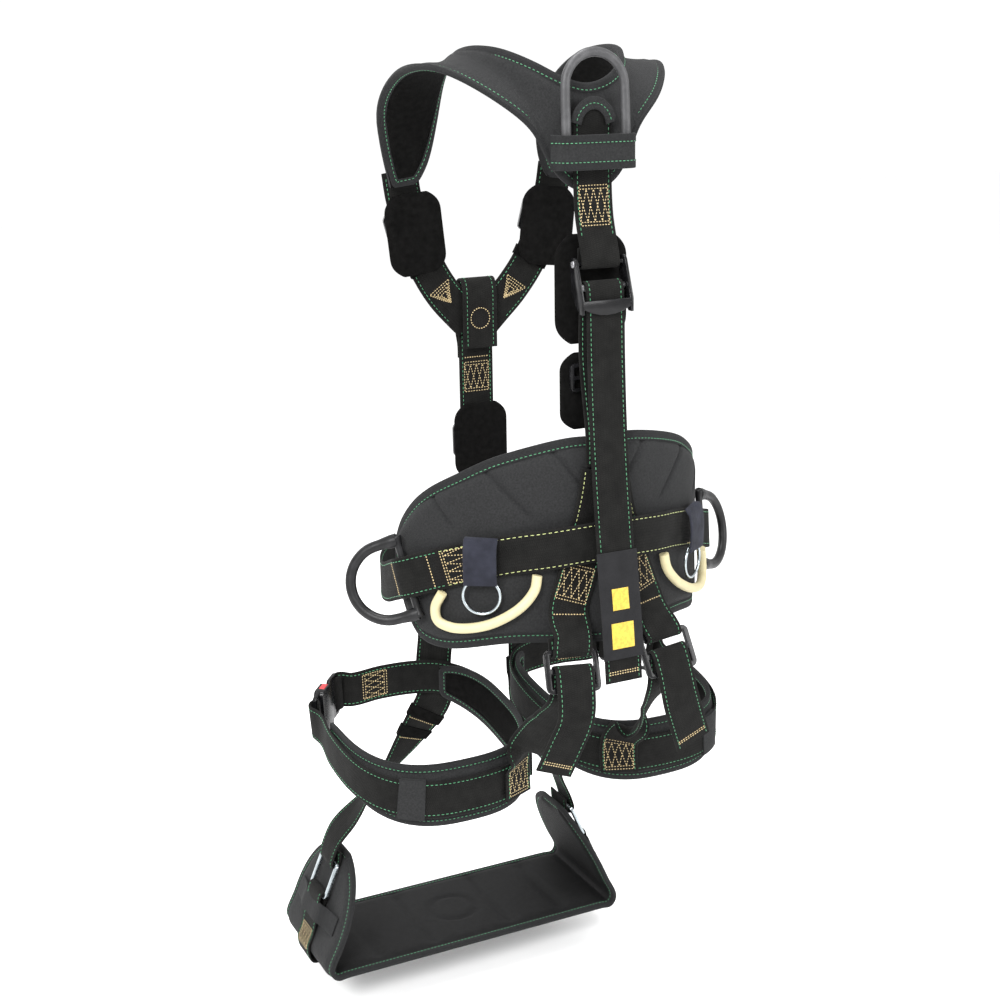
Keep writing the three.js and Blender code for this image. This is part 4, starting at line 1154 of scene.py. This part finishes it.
def make_rear_leg(side, label):
    inner, face = -SLIDE_FACE, leg_facing(REAR_ANGLE)
    stations = [
        (leg_point(REAR_ANGLE, 13.4, -20), -face), (leg_point(REAR_ANGLE, 13.4, 20), -face),
        (V(71, 96, -752), V(-0.1, -0.75, -0.6)), (V(65, 142, -702), V(0, -0.8, -0.6)),
        (V(61, 170, -668), inner), *wrap(SLIDE_CENTER, SLIDE_UP, inner, 5.4, 0)[:5],
        (SLIDE_CENTER - SLIDE_UP * SLIDE_BAR + SLIDE_FACE * 5, SLIDE_FACE), (V(65, 197, -682), BACK),
        (V(76, 193, -712), BACK), (V(88, 188, -742), BACK)]
    strap = one_side(side, stations)
    build = sewn(f"rear_leg_webbing_{label}", strap)
    strap.box(build, 4, 40, half=17, under=True)
    strap.bar(build, strap.length - 12)
    strap.bar(build, strap.length - 9.4)
    build.finish(ROOT, f"rear_leg_strap_{label}", slot="webbing")


def make_leg(side, label):
    height = profile([(-12, 40), (10, 60), (60, 74), (120, 76), (180, 66), (215, 54), (238, 38)])
    flip = to_side(side)

    def point(u, v):
        angle = lerp(-8, 234, u)
        return flip(leg_point(angle, 0, (v - 0.5) * (height(angle) - 3)))
    center = flip(V(LEG_X, LEG_Y, LEG_Z))
    pad = Pad(point, 110, 18, 11.4, lambda p: V(p.x - center.x, p.y - center.y, 0), edge=10,
              rim=2.2, margin=10)
    bound_pad(f"leg_cushion_{label}", ROOT, f"leg_pad_{label}", pad, 2.2, 8, 6)

    offset = profile([(-40, 5), (-26, 7.4), (-14, 8.8), (10, 8.8), (225, 8.8), (240, 8.8),
                      (256, 6), (300, 5)])
    middle = [(leg_point(a, offset(a)), leg_facing(a)) for a in range(-18, 287, 16)]
    normal = leg_facing(LEG_BUCKLE_ANGLE)
    across = V(-normal.y, normal.x, -LEG_TILT * normal.x).normalized()
    strap = strap_between_bars(leg_point(LEG_BUCKLE_ANGLE, 6), across, normal, middle)
    if side < 0:
        strap = mirrored_strap(strap)
    build = sewn(f"leg_webbing_{label}", strap, 24, strap.length - 24)
    for s in (0.28, 0.52):
        strap.sleeve(build, CHARCOAL, strap.length * s, strap.length * s + 30, 2.0)
    for under in (True, False):
        strap.box(build, strap.length - 96, strap.length - 62, half=16, under=under)
    build.finish(ROOT, f"leg_strap_{label}", slot="webbing")
    for name in ("body", "tongue"):
        refined(f"leg_buckle_{name}_{label}", BLACK, bevel=1.3)
    refined(f"leg_buckle_release_{label}", RED, f"leg_release_{label}", bevel=0.6)

    riser = one_side(side, [
        (waist(FRONT_RISER_ANGLE, belt_z(100) + 20, -0.8), waist_facing(FRONT_RISER_ANGLE)),
        (waist(FRONT_RISER_ANGLE, belt_z(100) - 22, -0.8), waist_facing(FRONT_RISER_ANGLE)),
        (V(60, -161, -640), FRONT), (V(58, -185, -712), leg_facing(RISER_ANGLE)),
        (leg_point(RISER_ANGLE, 12.6, 14), leg_facing(RISER_ANGLE)),
        (leg_point(RISER_ANGLE, 12.6, -14), leg_facing(RISER_ANGLE))])
    build = sewn(f"front_riser_webbing_{label}", riser)
    for under in (True, False):
        riser.box(build, 62, 92, half=16, under=under)
    build.finish(ROOT, f"front_riser_{label}", slot="webbing")


def mirrored_strap(strap):
    """The same strap on the other side of the body."""
    copy = Strap([(V(0, 0, 0), UP), (V(0, 0, 1), BACK)])
    copy.__dict__.update(strap.__dict__)
    copy.frame = lambda s: tuple(flipped(v) for v in strap.frame(s))
    return copy


# ---- seat ------------------------------------------------------------------
SEAT_HALF, SEAT_DEPTH, SEAT_Y, SEAT_BOTTOM, SEAT_THICK = 220, 90, -285, -1172, 12
PANEL_IN, PANEL_RISE = 62, 143
PANEL_DOWN = V(PANEL_IN, 0, -PANEL_RISE).normalized()
PANEL_OUT = V(PANEL_RISE, 0, PANEL_IN).normalized()
UPPER_BAR = V(178, SEAT_Y, -1040)
LINK_HEIGHT, LINK_WIRE = 52, 6
MID = SEAT_BOTTOM + SEAT_THICK / 2


def panel_at(t):
    return V(SEAT_HALF - PANEL_IN * t, 0, SEAT_BOTTOM + PANEL_RISE * t)


def make_seat():
    half = [panel_at(1), panel_at(0.66), panel_at(0.33), panel_at(0.12), V(206, 0, MID - 0.4),
            V(190, 0, MID), V(100, 0, MID)]
    path = Spline([*half, V(0, 0, MID), *[flipped(p) for p in reversed(half)]])

    def half_depth(z):
        height = (z - SEAT_BOTTOM) / PANEL_RISE
        if height < 0.4:
            return SEAT_DEPTH
        return SEAT_DEPTH * math.sqrt(max(0.05, 1 - ((height - 0.4) / 0.62) ** 2))

    def point(u, v):
        at = path.point(u)
        return V(at.x, SEAT_Y + (half_depth(at.z) - 1) * (2 * v - 1), at.z)

    def channels(u, v, mm_u, mm_v):
        """Sewn channels across the seat, and a plain ring pressed into the middle panel."""
        x = point(u, v).x
        if abs(point(u, v).z - MID) > 6:
            return 0.0
        depth = max(4.9 * math.exp(-(((abs(x) - at) / 8.5) ** 2) ** 0.6) for at in (58, 138))
        depth *= min(1.0, max(0.0, (82 - abs(v - 0.5) * 180) / 16))
        ring = math.hypot(x, (v - 0.5) * 180)
        return max(depth, 2.4 * math.exp(-((ring - 32) / 3.6) ** 2))
    pad = Pad(point, 220, 50, SEAT_THICK, lambda p: V(0, 0, -1), edge=12, rim=2.6,
              groove=channels, margin=10.5)
    bound_pad("seat_cushion", "seat", "seat_pad", pad, 2.6, 9, lining=SEAT_TOP)


def make_seat_web():
    lower = UPPER_BAR + PANEL_DOWN * (LINK_HEIGHT - LINK_WIRE)

    def on_panel(t, gap):
        at = panel_at(t) + PANEL_OUT * (SEAT_THICK / 2 + gap)
        return V(at.x, SEAT_Y, at.z)
    under = SEAT_BOTTOM - PLY / 2 - 0.5
    half = [*reversed(wrap(lower, -PANEL_DOWN, PANEL_OUT, 5.2, 16)),
            (on_panel(0.36, 6.5), PANEL_OUT), (on_panel(0.22, 3.4), PANEL_OUT),
            (on_panel(0.1, 2.6), PANEL_OUT), (V(216, SEAT_Y, under - 1), V(0.5, 0, -1)),
            (V(196, SEAT_Y, under - 0.6), -UP), (V(150, SEAT_Y, under), -UP)]
    strap = Strap([*half, (V(0, SEAT_Y, under), -UP), *mirror_stations(reversed(half))])
    build = sewn("seat_sling_webbing", strap, 30, strap.length - 30, under=False)
    for s0, s1 in ((84, 112), (strap.length - 112, strap.length - 84)):
        strap.box(build, s0, s1, half=15)
    build.finish("seat", "seat_web", slot="webbing")
    build = Build("seat_pockets")
    for side in (-1, 1):
        stations = []
        for y in (-66, -40, -27, 0, 27, 40, 66):
            lift = 11.5 if abs(y) < 30 else (6 if abs(y) < 50 else 1.2)
            at = panel_at(0.45) + PANEL_OUT * (SEAT_THICK / 2 + lift)
            stations.append((V(side * at.x, SEAT_Y + y, at.z),
                             V(side * PANEL_OUT.x, 0, PANEL_OUT.z)))
        Strap(stations, width=26, ply=2).strip(build, BINDING)
    build.finish("seat", slot="webbing")


def make_seat_strap(side, label):
    seam = leg_facing(RISER_ANGLE)
    stations = [
        (leg_point(RISER_ANGLE, 16.6, 8), seam), (leg_point(RISER_ANGLE, 16, -12), seam),
        (leg_point(RISER_ANGLE, 14, SEAT_SEAM), seam),
        (V(82, -207, -845), V(0.1, -1, 0)), (V(112, -232, -905), V(0.7, -0.9, 0)),
        (V(146, -262, -965), V(1, -0.3, 0)), (V(172, -281, -1006), V(1, 0, 0.2)),
        *wrap(UPPER_BAR, V(0.15, -0.02, -1).normalized(), V(1, 0, 0.15).normalized(), 5.6, 18)]
    strap = one_side(side, stations)
    build = sewn(f"seat_webbing_{label}", strap)
    for s0 in (60, 90):
        strap.sleeve(build, LINING, s0, s0 + 15, 1.5)
        strap.bar(build, s0 + 18, under=True)
    for s0 in (6, 24):
        strap.bar(build, s0)
    piece = build.finish(None, f"seat_strap_{label}", slot="webbing")
    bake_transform(piece)
    refined(f"seat_link_{label}", PLATED, "seat", bevel=2.0, segments=4)


# ---- stage -----------------------------------------------------------------
def make_stage():
    floor_z = cad_box[0][2] - SEAT_SWING_ROOM
    mesh = bpy.data.meshes.new("floor")
    size = 12.0
    mesh.from_pydata([(-size, -size, floor_z), (size, -size, floor_z), (size, size, floor_z),
                      (-size, size, floor_z)], [], [(0, 1, 2, 3)])
    floor = bpy.data.objects.new("floor", mesh)
    bpy.context.scene.collection.objects.link(floor)
    pale = Shader("pale floor", Base_Color=(0.95, 0.95, 0.95, 1), Roughness=0.9)
    mesh.materials.append(pale.material)

    world = bpy.data.worlds.new("studio")
    world.use_nodes = True
    world.node_tree.nodes["Background"].inputs["Color"].default_value = (1, 1, 1, 1)
    world.node_tree.nodes["Background"].inputs["Strength"].default_value = 1.05
    bpy.context.scene.world = world
    bpy.context.scene.view_settings.view_transform = "Standard"
    target = V(0, 0, -0.55)
    for name, place, size, watts in (
            ("key", V(2.4, 2.2, 1.5), 1.2, 150), ("fill", V(-2.2, 2.4, 0.4), 1.6, 60),
            ("top", V(0.3, 0.2, 2.4), 1.2, 90), ("front", V(1.0, -2.6, 0.2), 1.6, 30)):
        lamp = bpy.data.lights.new(name, "AREA")
        lamp.size, lamp.energy = size, watts
        light = bpy.data.objects.new(name, lamp)
        light.location = place
        light.rotation_euler = (target - place).to_track_quat("-Z", "Y").to_euler()
        bpy.context.scene.collection.objects.link(light)


def make_camera():
    """The reference view: behind the wearer's left side, at shoulder height, looking down."""
    azimuth, pitch, roll = (math.radians(a) for a in (153.961, 15.264, -0.971))
    level = V(-math.sin(azimuth), math.cos(azimuth), 0)
    right = V(math.cos(azimuth), math.sin(azimuth), 0)
    forward = level * math.cos(pitch) - UP * math.sin(pitch)
    up = right.cross(forward)
    x = right * math.cos(roll) + up * math.sin(roll)
    y = up * math.cos(roll) - right * math.sin(roll)
    camera = bpy.data.objects.new("camera", bpy.data.cameras.new("camera"))
    camera.data.lens, camera.data.sensor_width = 57.6, 36.0
    camera.matrix_world = Matrix.Translation(V(0.822, 1.572, -0.012)) @ Matrix(
        (x, y, -forward)).transposed().to_4x4()
    bpy.context.scene.collection.objects.link(camera)
    bpy.context.scene.camera = camera


make_camera()
make_stage()
make_yoke()
make_dorsal()
make_dorsal_ring()
make_back_strap()
make_adjuster()
make_tongue("back_cushion_upper", "back_pad_upper", V(0, 114, -240), 92, 122, BACK)
make_tongue("back_cushion_lower", "back_pad_lower", V(0, 117, -347), 84, 88, BACK)
refined("lower_back_buckle", BLACK, bevel=0.9)
make_lumbar()
make_belt()
make_front()
make_seat()
make_seat_web()
for way, word in ((1, "left"), (-1, "right")):
    make_hip(way, word)
    make_chest(way, word)
    make_riser(way, word)
    make_rear_leg(way, word)
    make_leg(way, word)
    make_seat_strap(way, word)
